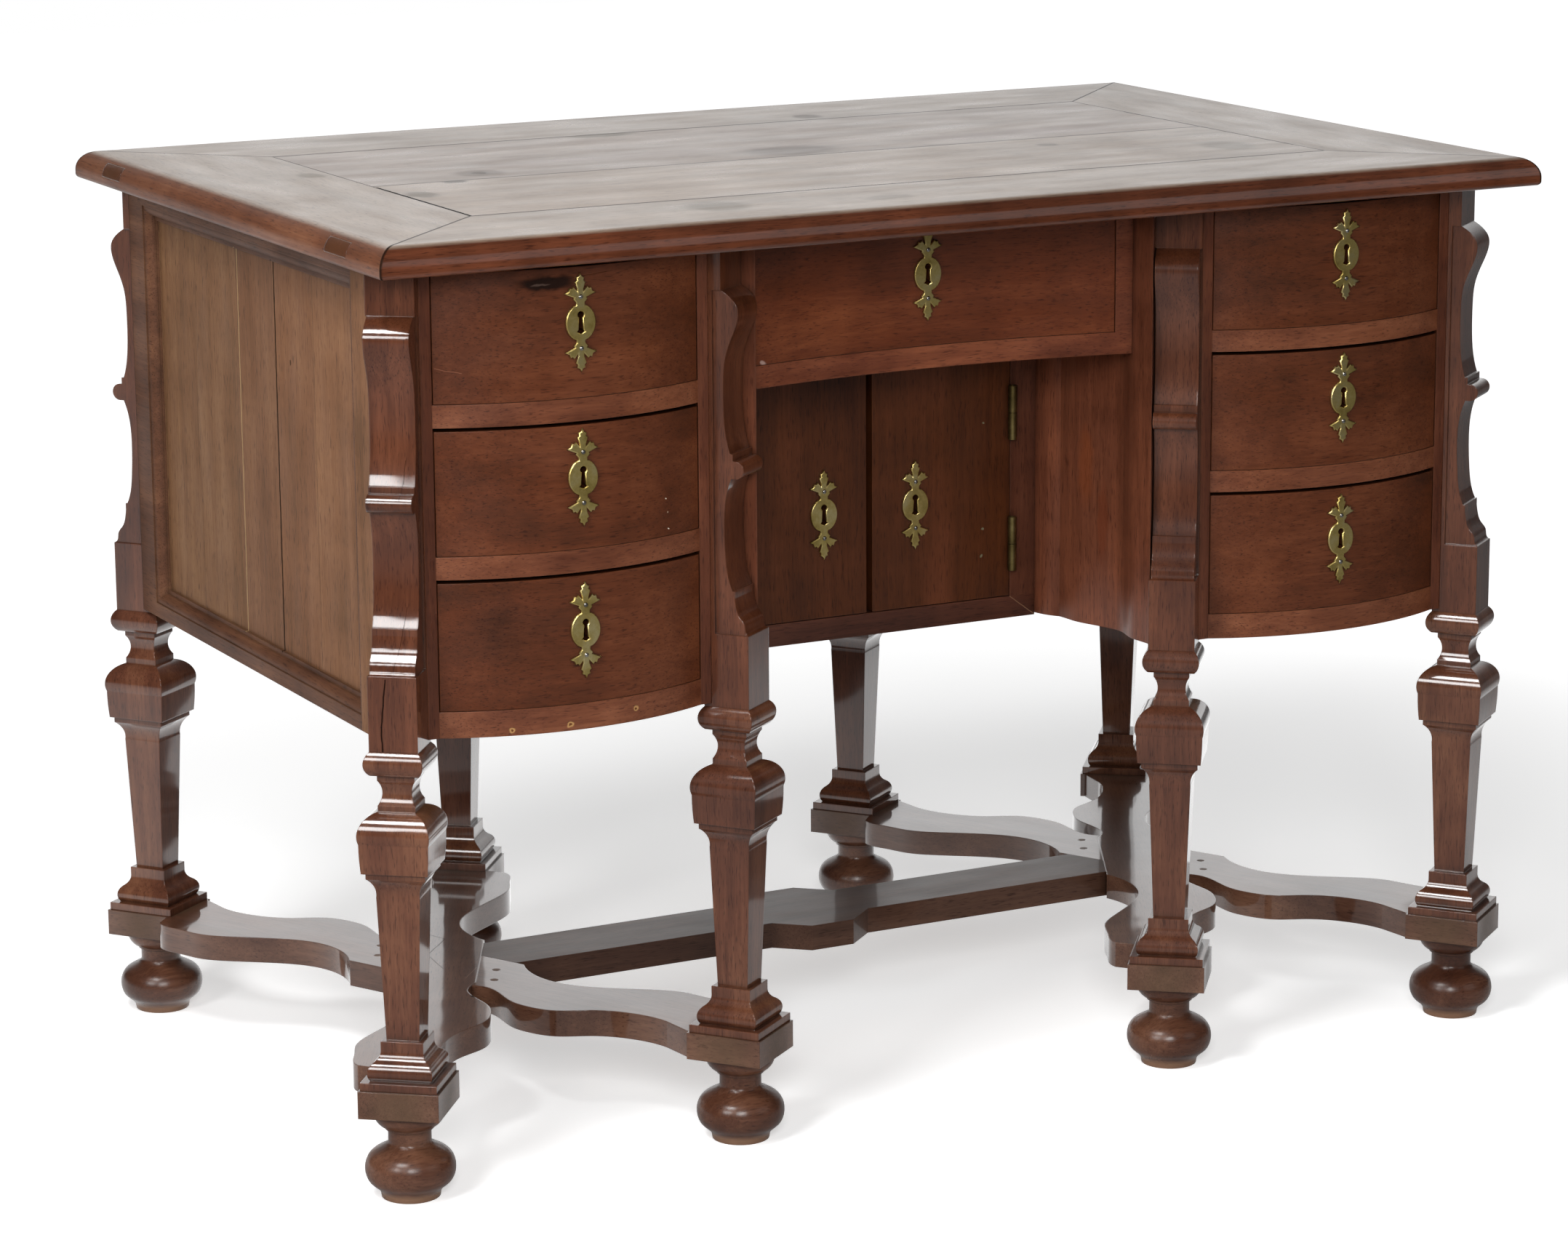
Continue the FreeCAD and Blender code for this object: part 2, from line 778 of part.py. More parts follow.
def right_side_panel(columns):
    stile_y = leg_y - post_width * stile_lap_share
    inner_y = stile_y - side_stile_width
    low_z = case_bottom_z + side_rail_height
    high_z = case_top_z - side_rail_height
    board_x = side_inner_x + side_board_thickness
    pieces = [
        box(side_inner_x, side_x, -stile_y, -inner_y, case_bottom_z, case_top_z),
        box(side_inner_x, side_x, inner_y, stile_y, case_bottom_z, case_top_z),
        box(side_inner_x, side_x, -inner_y, inner_y, case_bottom_z, low_z),
        box(side_inner_x, side_x, -inner_y, inner_y, high_z, case_top_z),
    ]
    joints = [-inner_y] + [inner_y * share for share in side_joint_shares] + [inner_y]
    for y0, y1 in zip(joints, joints[1:]):
        pieces.append(box(side_inner_x, board_x, y0, y1, low_z, high_z))
    length = back * (2 * inner_y)
    height = up * (high_z - low_z)
    pieces.append(moulding_strip(-inner_y, low_z, length, up))
    pieces.append(moulding_strip(-inner_y, high_z, length, -up))
    pieces.append(moulding_strip(-inner_y, low_z, height, back))
    pieces.append(moulding_strip(inner_y, low_z, height, -back))
    return [cut_all(piece, columns) for piece in pieces]


# One framed panel of the back, between two places along X
def back_bay(x0, x1, tools):
    middle_y = (back_inner_y + rear_y) / 2
    low_z = case_bottom_z + back_rail_height
    high_z = case_top_z - back_rail_height
    panel = box(
        x0 + back_stile_width - back_groove_depth,
        x1 - back_stile_width + back_groove_depth,
        middle_y - back_panel_thickness / 2,
        middle_y + back_panel_thickness / 2,
        low_z - back_groove_depth,
        high_z + back_groove_depth,
    )
    inner_x0 = x0 + back_stile_width
    inner_x1 = x1 - back_stile_width
    frame = [
        box(x0, inner_x0, back_inner_y, rear_y, case_bottom_z, case_top_z),
        box(inner_x1, x1, back_inner_y, rear_y, case_bottom_z, case_top_z),
        box(inner_x0, inner_x1, back_inner_y, rear_y, case_bottom_z, low_z),
        box(inner_x0, inner_x1, back_inner_y, rear_y, high_z, case_top_z),
    ]
    return [cut_all(piece, tools + [panel]) for piece in frame] + [panel]


# The kneehole wall on the right: shares of its swell and of the kneehole's depth, from the door to the post
kneehole_cove_share = (1.3, 0.11)
kneehole_curve_shares = [
    (1.0, 0.156), (0.94, 0.2), (0.88, 0.29), (0.47, 0.43), (0.118, 0.545), (0.0, 0.62), (0.176, 0.712),
    (0.353, 0.795), (0.32, 0.87), (0.32, 1.0)
]


def right_kneehole_wall(columns):
    def at(share):
        x = kneehole_half_width - kneehole_wall_swell * share[0]
        return vector(x, door_plane_y - kneehole_depth * share[1], case_bottom_z)

    points = [at(share) for share in kneehole_curve_shares]
    face = closed_face(
        vector(cupboard_frame_x, door_plane_y, case_bottom_z),
        [
            (at(kneehole_cove_share), points[0]),
            points[1:],
            vector(wall_outer_x, front_y, case_bottom_z),
            vector(wall_outer_x, rear_y, case_bottom_z),
            vector(cupboard_half_width, rear_y, case_bottom_z),
            vector(cupboard_half_width, cupboard_frame_back_y, case_bottom_z),
            vector(cupboard_frame_x, cupboard_frame_back_y, case_bottom_z),
        ],
    )
    bead_x = kneehole_half_width - kneehole_wall_swell
    drawer_way = box(0, bead_x, rail_back_y, cupboard_frame_back_y, centre_rail_bottom_z, case_top_z)
    wall = cut_all(face.extrude(up * (case_top_z - case_bottom_z)), columns + [drawer_way])
    return largest_solids(wall, 1)[0]


# The plan of a front that bows out or hollows in between its ends
def bowed_plan(centre_x, half_width, end_y, middle_y, inner_y, z):
    return closed_face(
        vector(centre_x - half_width, end_y, z),
        [
            (vector(centre_x, middle_y, z), vector(centre_x + half_width, end_y, z)),
            vector(centre_x + half_width, inner_y, z),
            vector(centre_x - half_width, inner_y, z),
        ],
    )


def right_pedestal_front(columns):
    half = opening_half_width
    lap = post_width * stile_lap_share
    z_span = (case_bottom_z, case_top_z)
    pieces = [
        box(inner_leg_x + lap, pedestal_x - half, front_y, rail_back_y, *z_span),
        box(pedestal_x + half, outer_leg_x - lap, front_y, rail_back_y, *z_span),
    ]
    pieces = [largest_solids(cut_all(piece, columns), 1)[0] for piece in pieces]
    levels = [
        (case_bottom_z, bottom_rail_top_z),
        (lower_rail_bottom_z, lower_rail_top_z),
        (upper_rail_bottom_z, upper_rail_top_z),
    ]
    for z0, z1 in levels:
        plan = bowed_plan(pedestal_x, half, front_y, front_y - front_bow, rail_back_y, z0)
        pieces.append(plan.extrude(up * (z1 - z0)))
    return pieces


# Runners under both sides of each pedestal drawer, with a guide above each
def right_runners(columns):
    half = opening_half_width
    inner_span = (wall_outer_x, pedestal_x - half)
    outer_span = (pedestal_x + half, side_inner_x)
    pieces = []
    levels = [
        (bottom_board_top_z, bottom_rail_top_z),
        (lower_rail_bottom_z, lower_rail_top_z),
        (upper_rail_bottom_z, upper_rail_top_z),
    ]
    for z0, z1 in levels:
        for span, reach in ((inner_span, (0, runner_bearing)), (outer_span, (-runner_bearing, 0))):
            x0 = span[0] + reach[0]
            x1 = span[1] + reach[1]
            pieces.append(box(x0, x1, rail_back_y, back_inner_y, z0, z1))
            pieces.append(box(span[0], span[1], rail_back_y, back_inner_y, z1, z1 + guide_height))
    return [cut_all(piece, columns) for piece in pieces]


# The centre drawer's rail, ears, ceiling board, runners and guides
def centre_frame(walls, columns):
    arc = hollow_arc_y
    half = centre_opening_half_width
    rail_reach = wall_outer_x
    rail = bowed_plan(
        0, rail_reach, arc(rail_reach), arc(0), centre_rail_back_y, centre_rail_bottom_z
    ).extrude(up * centre_rail_height)
    ear_height = case_top_z - centre_rail_top_z
    ear = bowed_plan(0, rail_reach, arc(rail_reach), arc(0), centre_rail_back_y, centre_rail_top_z)
    ear = ear.extrude(up * ear_height)
    ears = ear.cut(box(-half, half, front_y, back_inner_y, centre_rail_top_z, case_top_z))
    ceiling_top = centre_rail_bottom_z + ceiling_thickness
    ceiling = box(
        -cupboard_half_width, cupboard_half_width, centre_rail_back_y, back_inner_y,
        centre_rail_bottom_z, ceiling_top,
    )
    pieces = [rail] + ears.Solids + [ceiling]
    for sign in (-1, 1):
        runner_span = sorted([sign * (half - runner_bearing), sign * kneehole_half_width])
        guide_span = sorted([sign * half, sign * kneehole_half_width])
        pieces.append(box(*runner_span, centre_rail_back_y, back_inner_y, ceiling_top, centre_rail_top_z))
        guide_top = centre_rail_top_z + guide_height
        pieces.append(box(*guide_span, centre_rail_back_y, back_inner_y, centre_rail_top_z, guide_top))
    return [largest_solids(cut_all(piece, walls + columns), 1)[0] for piece in pieces]


# Where the hollow centre front lies at a distance from the middle
def hollow_arc_y(x):
    half = centre_opening_half_width
    radius = (half ** 2 + centre_front_hollow ** 2) / (2 * centre_front_hollow)
    return centre_front_y + centre_front_hollow - radius + math.sqrt(radius ** 2 - x ** 2)


def cupboard_frame():
    inner = cupboard_opening_half_width
    outer = cupboard_frame_x
    low = cupboard_bottom_z
    mid = cupboard_rail_top_z
    high = centre_rail_bottom_z
    outlines = [
        [(-outer, low), (-inner, mid), (-inner, high), (-outer, high)],
        [(outer, low), (inner, mid), (inner, high), (outer, high)],
        [(-outer, low), (outer, low), (inner, mid), (-inner, mid)],
    ]
    pieces = []
    for outline in outlines:
        points = [vector(x, door_plane_y, z) for x, z in outline]
        pieces.append(polygon_prism(points, back * cupboard_frame_thickness))
    stop_y = door_plane_y + door_thickness + hinge_gap
    stop = box(-outer, outer, stop_y, stop_y + cupboard_stop_size, high - cupboard_stop_size, high)
    pieces[0] = pieces[0].cut(stop)
    pieces[1] = pieces[1].cut(stop)
    return pieces + [stop]


def bottom_boards(columns, walls):
    pieces = []
    pedestal = box(wall_outer_x, side_inner_x, rail_back_y, back_inner_y, case_bottom_z, bottom_board_top_z)
    pieces.append(pedestal)
    pieces.append(flipped(pedestal, right))
    top_z = cupboard_rail_top_z
    floor = box(
        -cupboard_half_width, cupboard_half_width, cupboard_frame_back_y, back_inner_y,
        top_z - bottom_board_thickness, top_z,
    )
    pieces.append(floor)
    return [cut_all(piece, columns + walls) for piece in pieces]


# The outline of a keyhole on a front, with its middle at x and z, as a prism towards the back
def keyhole_prism(x, y, z, depth):
    bottom_z = z - keyhole_height / 2
    head_z = z + keyhole_height / 2 - keyhole_head_radius
    head = Part.makeCylinder(keyhole_head_radius, depth, vector(x, y, head_z), back)
    stem_top = keyhole_stem_top_width / 2
    stem_foot = keyhole_stem_foot_width / 2
    foot_half = keyhole_foot_width / 2
    foot_top_z = bottom_z + keyhole_foot_height
    foot_side_z = bottom_z + keyhole_foot_height / 2
    outline = closed_face(
        vector(x + stem_foot, y, foot_top_z),
        [
            vector(x + stem_top, y, head_z),
            vector(x - stem_top, y, head_z),
            vector(x - stem_foot, y, foot_top_z),
            vector(x - foot_half, y, foot_side_z),
            (vector(x, y, bottom_z), vector(x + foot_half, y, foot_side_z)),
        ],
    )
    return outline.extrude(back * depth).fuse(head)


# Half of the escutcheon's leaf: shares of its half width and of its height above the oval
finial_shares = [
    (0.27, -0.04), (0.27, 0.06), (0.45, 0.17), (0.37, 0.22), (1.0, 0.36), (0.76, 0.42), (0.7, 0.53),
    (0.56, 0.5), (0.46, 0.57), (0.17, 0.37), (0.19, 0.5), (0.33, 0.72), (0.2, 0.77), (0.25, 0.87),
    (0.09, 0.9), (0.0, 1.0)
]


# A flat oval drawn as a circle of radius 1 that its width and height stretch
def oval_face(width, height):
    stretch = FreeCAD.Matrix()
    stretch.scale(width / 2, height / 2, 1)
    circle = Part.Face(Part.Wire(Part.makeCircle(1)))
    return circle.transformGeometry(stretch)


def escutcheon_plate(x, y, z):
    oval_rise = escutcheon_oval_height / 2
    plate = oval_face(escutcheon_oval_width, escutcheon_oval_height).extrude(up * escutcheon_thickness)
    for sign in (-1, 1):
        points = []
        for share_x, share_z in finial_shares:
            leaf_z = sign * (oval_rise + finial_height * share_z)
            points.append(vector(finial_width / 2 * share_x, leaf_z))
        mirrored = [vector(-point.x, point.y) for point in reversed(points[:-1])]
        root = vector(0, sign * oval_rise * finial_root_share)
        plate = plate.fuse(polygon_prism(points + mirrored + [root], up * escutcheon_thickness))
    plate.rotate(origin, right, 90)
    plate.translate(vector(x, y, z))
    return plate.removeSplitter()


# The plate with its two pins: y is the wood's face, and the pins' shanks go into the wood
def escutcheon(x, y, z):
    keyhole = keyhole_prism(x, y - escutcheon_thickness - overrun, z, escutcheon_thickness + 2 * overrun)
    plate = escutcheon_plate(x, y, z).cut(keyhole)
    pins = []
    for sign in (-1, 1):
        place = vector(x, y - escutcheon_thickness, z + sign * escutcheon_pin_rise)
        shank = Part.makeCylinder(escutcheon_pin_radius, escutcheon_pin_length, place, back)
        head = Part.makeSphere(escutcheon_pin_head_radius, place)
        reach = 2 * escutcheon_pin_head_radius
        behind = Part.makeCylinder(reach, reach, place, back)
        plate = plate.cut(shank)
        pins.append(shank.fuse(head.cut(behind)))
    return [plate], pins


# A box lock on the back of a front, with its bolt drawn in and its key pin in the keyhole
def lock(x, y, z, bolt_direction):
    half_width = lock_width / 2
    half_height = lock_height / 2
    half_bolt = lock_bolt_width / 2
    y0 = y + (lock_thickness - lock_bolt_thickness) / 2
    y1 = y0 + lock_bolt_thickness
    case = box(x - half_width, x + half_width, y, y + lock_thickness, z - half_height, z + half_height)
    bolt = box(x - half_bolt, x + half_bolt, y0, y1, z + half_height - lock_bolt_height, z + half_height)
    if bolt_direction == "side":
        bolt_x = x - half_width
        bolt = box(bolt_x, bolt_x + lock_bolt_height, y0, y1, z - half_bolt, z + half_bolt)
    head_z = z + keyhole_height / 2 - keyhole_head_radius
    pin = Part.makeCylinder(key_pin_radius, key_pin_length, vector(x, y, head_z), -back)
    return [case.cut(bolt).fuse(pin), bolt]


# Dovetail tails on the front end of a drawer side that reaches back from a front's inner face
def dovetails(x0, x1, inner_y, z0, z1):
    pitch = (z1 - z0) / dovetail_count
    tails = []
    for index in range(dovetail_count):
        middle = z0 + pitch * index + pitch / 2
        neck = pitch * dovetail_neck_share / 2
        tip = pitch * dovetail_tip_share / 2
        outline = [
            vector(x0, inner_y, middle - neck),
            vector(x0, inner_y, middle + neck),
            vector(x0, inner_y - dovetail_length, middle + tip),
            vector(x0, inner_y - dovetail_length, middle - tip),
        ]
        tails.append(polygon_prism(outline, right * (x1 - x0)))
    return tails


# A drawer: its front's face runs from end_y at its ends to middle_y, its inner face lies at inner_y,
# and its escutcheon's back at plate_y
def drawer(name, centre_x, half_width, z0, z1, end_y, middle_y, plate_y, inner_y, back_y):
    front = bowed_plan(centre_x, half_width, end_y, middle_y, inner_y, z0).extrude(up * (z1 - z0))
    side_top = z1 - drawer_side_drop
    left_x = centre_x - half_width
    right_x = centre_x + half_width
    thickness = drawer_side_thickness
    bottom_z = z0 + drawer_bottom_lift
    bottom_top = bottom_z + drawer_bottom_thickness
    bottom = box(
        left_x + thickness - drawer_groove_depth,
        right_x - thickness + drawer_groove_depth,
        inner_y - drawer_groove_depth,
        back_y,
        bottom_z,
        bottom_top,
    )
    rear_y0 = back_y - drawer_back_thickness
    rear = box(left_x + thickness, right_x - thickness, rear_y0, back_y, bottom_top, side_top)
    sides = []
    for x0, x1 in ((left_x, left_x + thickness), (right_x - thickness, right_x)):
        side = box(x0, x1, inner_y, back_y, z0, side_top)
        tails = dovetails(x0, x1, inner_y, z0, side_top)
        front = cut_all(front, tails)
        for tail in tails:
            side = side.fuse(tail)
        sides.append(side.removeSplitter().cut(bottom))
    key_z = (z0 + z1) / 2 + escutcheon_rise
    plate, pins = escutcheon(centre_x, plate_y, key_z)
    keyhole = keyhole_prism(centre_x, middle_y - overrun, key_z, inner_y - middle_y + overrun)
    front = cut_all(front.cut(bottom).cut(keyhole), pins)
    save(name, [front] + sides + [rear, bottom])
    save(name + "_escutcheon", plate + pins + lock(centre_x, inner_y, key_z, "up"))


def make_drawers():
    half = opening_half_width - drawer_side_gap
    levels = [
        ("bottom", bottom_rail_top_z, lower_rail_bottom_z - drawer_top_gap),
        ("middle", lower_rail_top_z, upper_rail_bottom_z - drawer_top_gap),
        ("top", upper_rail_top_z, case_top_z - top_drawer_top_gap),
    ]
    back_y = back_inner_y - drawer_back_gap
    for hand, x in (("left", -pedestal_x), ("right", pedestal_x)):
        for level, z0, z1 in levels:
            name = hand + "_" + level + "_drawer"
            inner_y = front_y + drawer_end_thickness
            bow_y = front_y - front_bow
            drawer(name, x, half, z0 + drawer_floor_gap, z1, front_y, bow_y, bow_y, inner_y, back_y)
    centre_half = centre_opening_half_width - drawer_side_gap
    drawer(
        "centre_drawer",
        0,
        centre_half,
        centre_rail_top_z + drawer_floor_gap,
        case_top_z - top_drawer_top_gap,
        hollow_arc_y(centre_half),
        hollow_arc_y(0),
        hollow_arc_y(finial_width / 2),
        centre_rail_back_y,
        back_inner_y - centre_box_gap,
    )


# One knuckle hinge for the right door: the fixed half with its pin, and the moving half above it
def hinge_halves(z0):
    axis_x = cupboard_opening_half_width
    axis_y = door_plane_y - hinge_barrel_radius - hinge_gap
    split = z0 + hinge_height / 2
    low_height = split - z0 - hinge_gap / 2
    plate_y = axis_y + hinge_barrel_radius + hinge_gap
    deep_y = plate_y + hinge_plate_depth
    low = Part.makeCylinder(hinge_barrel_radius, low_height, vector(axis_x, axis_y, z0))
    low_top = z0 + low_height
    high_bottom = split + hinge_gap / 2
    z1 = z0 + hinge_height
    high = Part.makeCylinder(hinge_barrel_radius, z1 - high_bottom, vector(axis_x, axis_y, high_bottom))
    foot = vector(axis_x, axis_y, z0)
    bore = Part.makeCylinder(hinge_pin_radius + hinge_pin_clearance, hinge_height, foot)
    pin = Part.makeCylinder(hinge_pin_radius, hinge_height - hinge_gap, foot)
    fixed_end = axis_x + hinge_plate_thickness
    fixed = low.fuse(pin)
    fixed = fixed.fuse(box(axis_x, fixed_end, axis_y, deep_y, z0, low_top))
    fixed = fixed.fuse(box(axis_x, fixed_end, plate_y, deep_y, z0, z1))
    moving_end = axis_x - door_side_gap
    moving_x = moving_end - hinge_plate_thickness
    moving = high.fuse(box(moving_x, moving_end, axis_y, deep_y, high_bottom, z1))
    moving = moving.fuse(box(moving_x, moving_end, plate_y, deep_y, z0, z1)).cut(bore)
    return fixed, moving


def right_door(hinge_tools):
    inner = door_meeting_gap / 2
    outer = cupboard_opening_half_width - door_side_gap
    low = cupboard_rail_top_z + door_floor_gap
    high = centre_rail_bottom_z - door_top_gap
    leaf = box(inner, outer, door_plane_y, door_plane_y + door_thickness, low, high)
    x = door_escutcheon_x
    z = door_escutcheon_z
    keyhole = keyhole_prism(x, door_plane_y - overrun, z, door_thickness + overrun)
    plate, pins = escutcheon(x, door_plane_y, z)
    leaf = cut_all(leaf.cut(keyhole), pins + hinge_tools)
    lock_pieces = lock(x, door_plane_y + door_thickness, z, "side")
    return leaf, plate + pins, lock_pieces


def make_cupboard():
    low = cupboard_rail_top_z + door_floor_gap + hinge_lower_rise
    high = centre_rail_bottom_z - door_top_gap - hinge_upper_drop - hinge_height
    fixed = []
    moving = []
    for z in (low, high):
        fixed_half, moving_half = hinge_halves(z)
        fixed.append(fixed_half)
        moving.append(moving_half)
    leaf, plates, lock_pieces = right_door(moving)
    save("right_door", [leaf])
    save("left_door", [flipped(leaf, right)])
    save("right_door_escutcheon", plates + lock_pieces + moving)
    save("left_door_escutcheon", [flipped(piece, right) for piece in plates + moving])
    fixed_left = [flipped(piece, right) for piece in fixed]
    save("fixed_hinge_halves", fixed + fixed_left)
    save("cupboard_frame", [cut_all(piece, fixed + fixed_left) for piece in cupboard_frame()])


def make_case():
    columns = post_columns()
    wall = right_kneehole_wall(columns)
    walls = [wall, flipped(wall, right)]
    lap = post_width * stile_lap_share
    save_pair("kneehole_wall", [wall])
    save_pair("side_panel", right_side_panel(columns))
    save_pair("pedestal_front_frame", right_pedestal_front(columns))
    bay = back_bay(inner_leg_x + lap, outer_leg_x - lap, columns)
    centre = back_bay(-cupboard_half_width, cupboard_half_width, columns + walls)
    save("back_panels", bay + [flipped(piece, right) for piece in bay] + centre)
    runners = right_runners(columns)
    save("drawer_runners", runners + [flipped(piece, right) for piece in runners])
    save("centre_drawer_frame", centre_frame(walls, columns))
    save("bottom_boards", bottom_boards(columns, walls))


os.makedirs("parts", exist_ok=True)
make_legs()
make_stretchers()
make_top()
make_case()
make_cupboard()
make_drawers()
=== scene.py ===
import bpy
import math
from mathutils import Matrix, Vector


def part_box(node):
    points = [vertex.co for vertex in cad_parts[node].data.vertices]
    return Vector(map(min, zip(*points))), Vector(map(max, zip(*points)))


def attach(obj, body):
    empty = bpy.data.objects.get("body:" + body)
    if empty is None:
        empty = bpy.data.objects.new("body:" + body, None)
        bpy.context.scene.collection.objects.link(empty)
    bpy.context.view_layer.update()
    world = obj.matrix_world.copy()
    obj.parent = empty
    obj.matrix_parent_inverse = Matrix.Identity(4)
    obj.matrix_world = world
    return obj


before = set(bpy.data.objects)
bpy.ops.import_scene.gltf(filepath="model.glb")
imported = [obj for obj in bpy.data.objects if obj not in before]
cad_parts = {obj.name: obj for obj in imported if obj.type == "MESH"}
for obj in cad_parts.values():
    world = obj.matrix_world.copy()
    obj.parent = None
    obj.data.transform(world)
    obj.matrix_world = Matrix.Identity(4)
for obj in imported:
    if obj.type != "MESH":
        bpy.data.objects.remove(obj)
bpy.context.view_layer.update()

# Units
mm = 0.001

# Camera, fitted to the straight edges of the desk in the photograph
camera_place = Vector((-1.9636, -3.7519, 1.3396))
camera_azimuth = 27.417
camera_pitch = -12.925
camera_roll = -0.390
camera_lens = 108.86
camera_sensor = 36.0

# Studio: soft boxes at the front left, at the left and above on the left, and a faint fill from the right
room_white = "#FFFFFF"
floor_white = "#F4F4F4"
floor_half_size = 9.0
sky_level = 0.21
room_gloss_level = 0.05
floor_gloss_level = 0.34
back_gloss_level = 1.25
floor_glow_near = 0.50
floor_glow_far = 0.90
back_glow_edge = 0.72
back_glow_full = 0.93
floor_front_y = (-4.2, -0.9)
floor_back_y = (-0.4, 0.5)
floor_right_x = (0.9, 2.1)
floor_right_share = 0.12
floor_sweep_reach = (0.9, 2.2)
key_place = Vector((-1.6, -3.3, 1.85))
key_size = 0.9
key_watts = 62.0
left_place = Vector((-3.0, -1.6, 1.8))
left_size = 0.9
left_watts = 36.0
overhead_place = Vector((-1.75, -1.0, 2.75))
overhead_size = 0.7
overhead_watts = 44.0
fill_place = Vector((2.2, -3.6, 2.2))
fill_size = 2.6
fill_watts = 12.0
desk_middle = Vector((0.0, 0.0, 0.45))

# Places on the desk that the finishes follow, in mm
top_face_z = 798.6
field_half_x = 417.0
field_half_y = 219.0
field_joint_y = -12.0
mitre_at = 198.0
tenon_y = (-285.5, -240.5)
tenon_z = (784.3, 795.8)
pedestal_x = 369.5
opening_half_width = 119.0
side_frame_x = 524.0
side_face_x = 523.0
side_stile_y = -262.0
side_stile_half = 18.6
side_joints = (-132.1, -46.5, 39.1, 141.9)
side_low_z = 412.0
side_high_z = 749.0
pedestal_front_back = 279.0
centre_front_back = 218.0
door_back = 115.5
cupboard_rail_z = 404.2
stretcher_turn = 62.6

# A soft noise keeps mostly between these; a colour ramp runs from 0 to 1 around its middle
noise_low = 0.3
noise_middle = 0.5
noise_high = 0.7
ramp_middle = 0.5

# The grain of mahogany, sizes in mm: its figure, how that wanders, the ribbon and the ageing
tone_places = (0.36, 0.5, 0.64)
figure_stretch = 0.10
wander_size = 90.0
wander_reach = 6.0
ribbon_size = 26.0
ribbon_stretch = 0.35
ribbon_lean = 0.35
ribbon_share = 0.16
ageing_size = 150.0
ageing_share = 0.30
piece_offset = (5.0, 7.0, 3.0)
board_offset = (9.0, 9.0, 9.0)

# Fibres and pores, in mm: real ones are too fine to show in the picture, so these are drawn coarser
fibre_width = 2.6
fibre_stretch = 0.03
fibre_share = 0.30
pore_width = 1.0
pore_stretch = 0.09
pore_edge = 0.58
pore_middle = 0.72
pore_share = 0.6
pore_tint = "#70564C"
pore_relief = 0.2
pore_relief_strength = 0.12

# The finish on wood, sizes in mm: rubbed edges, painted shade in corners and recesses, wiped polish,
# marks of the plane
edge_radius = 1.3
edge_start = 0.985
edge_full = 0.80
# Painted shade: corners and recesses that open air hardly reaches are darkened towards a dark brown
corner_shade_reach = 7.0
corner_shade_start = 0.75
corner_shade_full = 0.25
corner_shade_share = 0.7
corner_shade_tint = "#22130C"
wiped_size = 30.0
wiped_stretch = 0.3
wiped_smoother = -0.04
wiped_rougher = 0.06
plane_mark_size = 34.0
plane_mark_depth = 0.5
plane_mark_strength = 0.35
wood_ior = 1.5
polish_roughness = 0.07
polish_ior = 1.6

# How marks wander, as the size and the reach in mm, and how soft their outlines are
joint_wander = (20.0, 0.5)
crack_wander = (9.0, 1.6)
spot_wander = (14.0, 9.0)
line_edge_part = 2
line_core_part = 5
spot_edge = 1.15
spot_core = 0.55

# Aged metal, sizes in mm: tarnish, worn edges and scuffs, and the iron of locks
metal_tone_places = (0.34, 0.5, 0.66)
tarnish_size = 22.0
tarnish_rougher = 0.12
tarnish_smoother = 0.06
metal_edge_radius = 0.4
scuff_size = 6.0
scuff_depth = 0.2
scuff_strength = 0.25
iron_colour = "#4C4641"

# Half of an escutcheon's leaf: shares of its half width and of its height above the oval
leaf_shares = (
    (0.27, -0.04), (0.27, 0.06), (0.45, 0.17), (0.37, 0.22), (1.0, 0.36), (0.76, 0.42),
    (0.7, 0.53), (0.56, 0.5), (0.46, 0.57), (0.17, 0.37), (0.19, 0.5), (0.33, 0.72),
    (0.2, 0.77), (0.25, 0.87), (0.09, 0.9), (0.0, 1.0))

# The escutcheons' plates and pins, in mm and degrees
leaf_half_width = 13.5
leaf_height = 25.0
oval_half_width = 13.0
oval_half_height = 15.0
oval_steps = 14
keyhole_head_z = 6.4
keyhole_head_radius = 3.0
keyhole_head_start = -35
keyhole_head_sweep = 250
keyhole_steps = 12
keyhole_foot = (
    (-1.7, 4.2), (-2.3, -5.9), (-3.9, -7.7), (0.0, -9.4), (3.9, -7.7), (2.3, -5.9), (1.7, 4.2))
plate_overlap = 0.25
plate_bevel = 0.75
plate_half_thickness = 0.6
plate_middle = 0.8
weld_distance = 0.01
pin_rise = 21.0
pin_radius = 2.1
pin_height_share = 0.75
pin_foot = 1.8
pin_segments = 16
pin_rings = 10
smooth_up_to = 40
escutcheon_front = 3.3
door_escutcheon_x = 46.0
door_escutcheon_z = 498.2
door_face_y = -132.0


def linear(hex_colour):
    """Turns an sRGB hex colour into the linear one that a shader takes."""
    channels = []
    for start in (1, 3, 5):
        value = int(hex_colour[start:start + 2], 16) / 255
        if value <= 0.04045:
            channels.append(value / 12.92)
        else:
            channels.append(((value + 0.055) / 1.055) ** 2.4)
    return (*channels, 1.0)


def add(tree, kind, sockets=None, **settings):
    """Adds a shader node with its settings; a socket takes a value or another node's output."""
    node = tree.nodes.new(kind)
    for name, value in settings.items():
        setattr(node, name, value)
    for name, value in (sockets or {}).items():
        if isinstance(value, bpy.types.NodeSocket):
            tree.links.new(value, node.inputs[name])
        else:
            node.inputs[name].default_value = value
    return node


def new_material(name):
    """A material with nothing in it yet."""
    material = bpy.data.materials.new(name)
    material.use_nodes = True
    material.node_tree.nodes.clear()
    return material


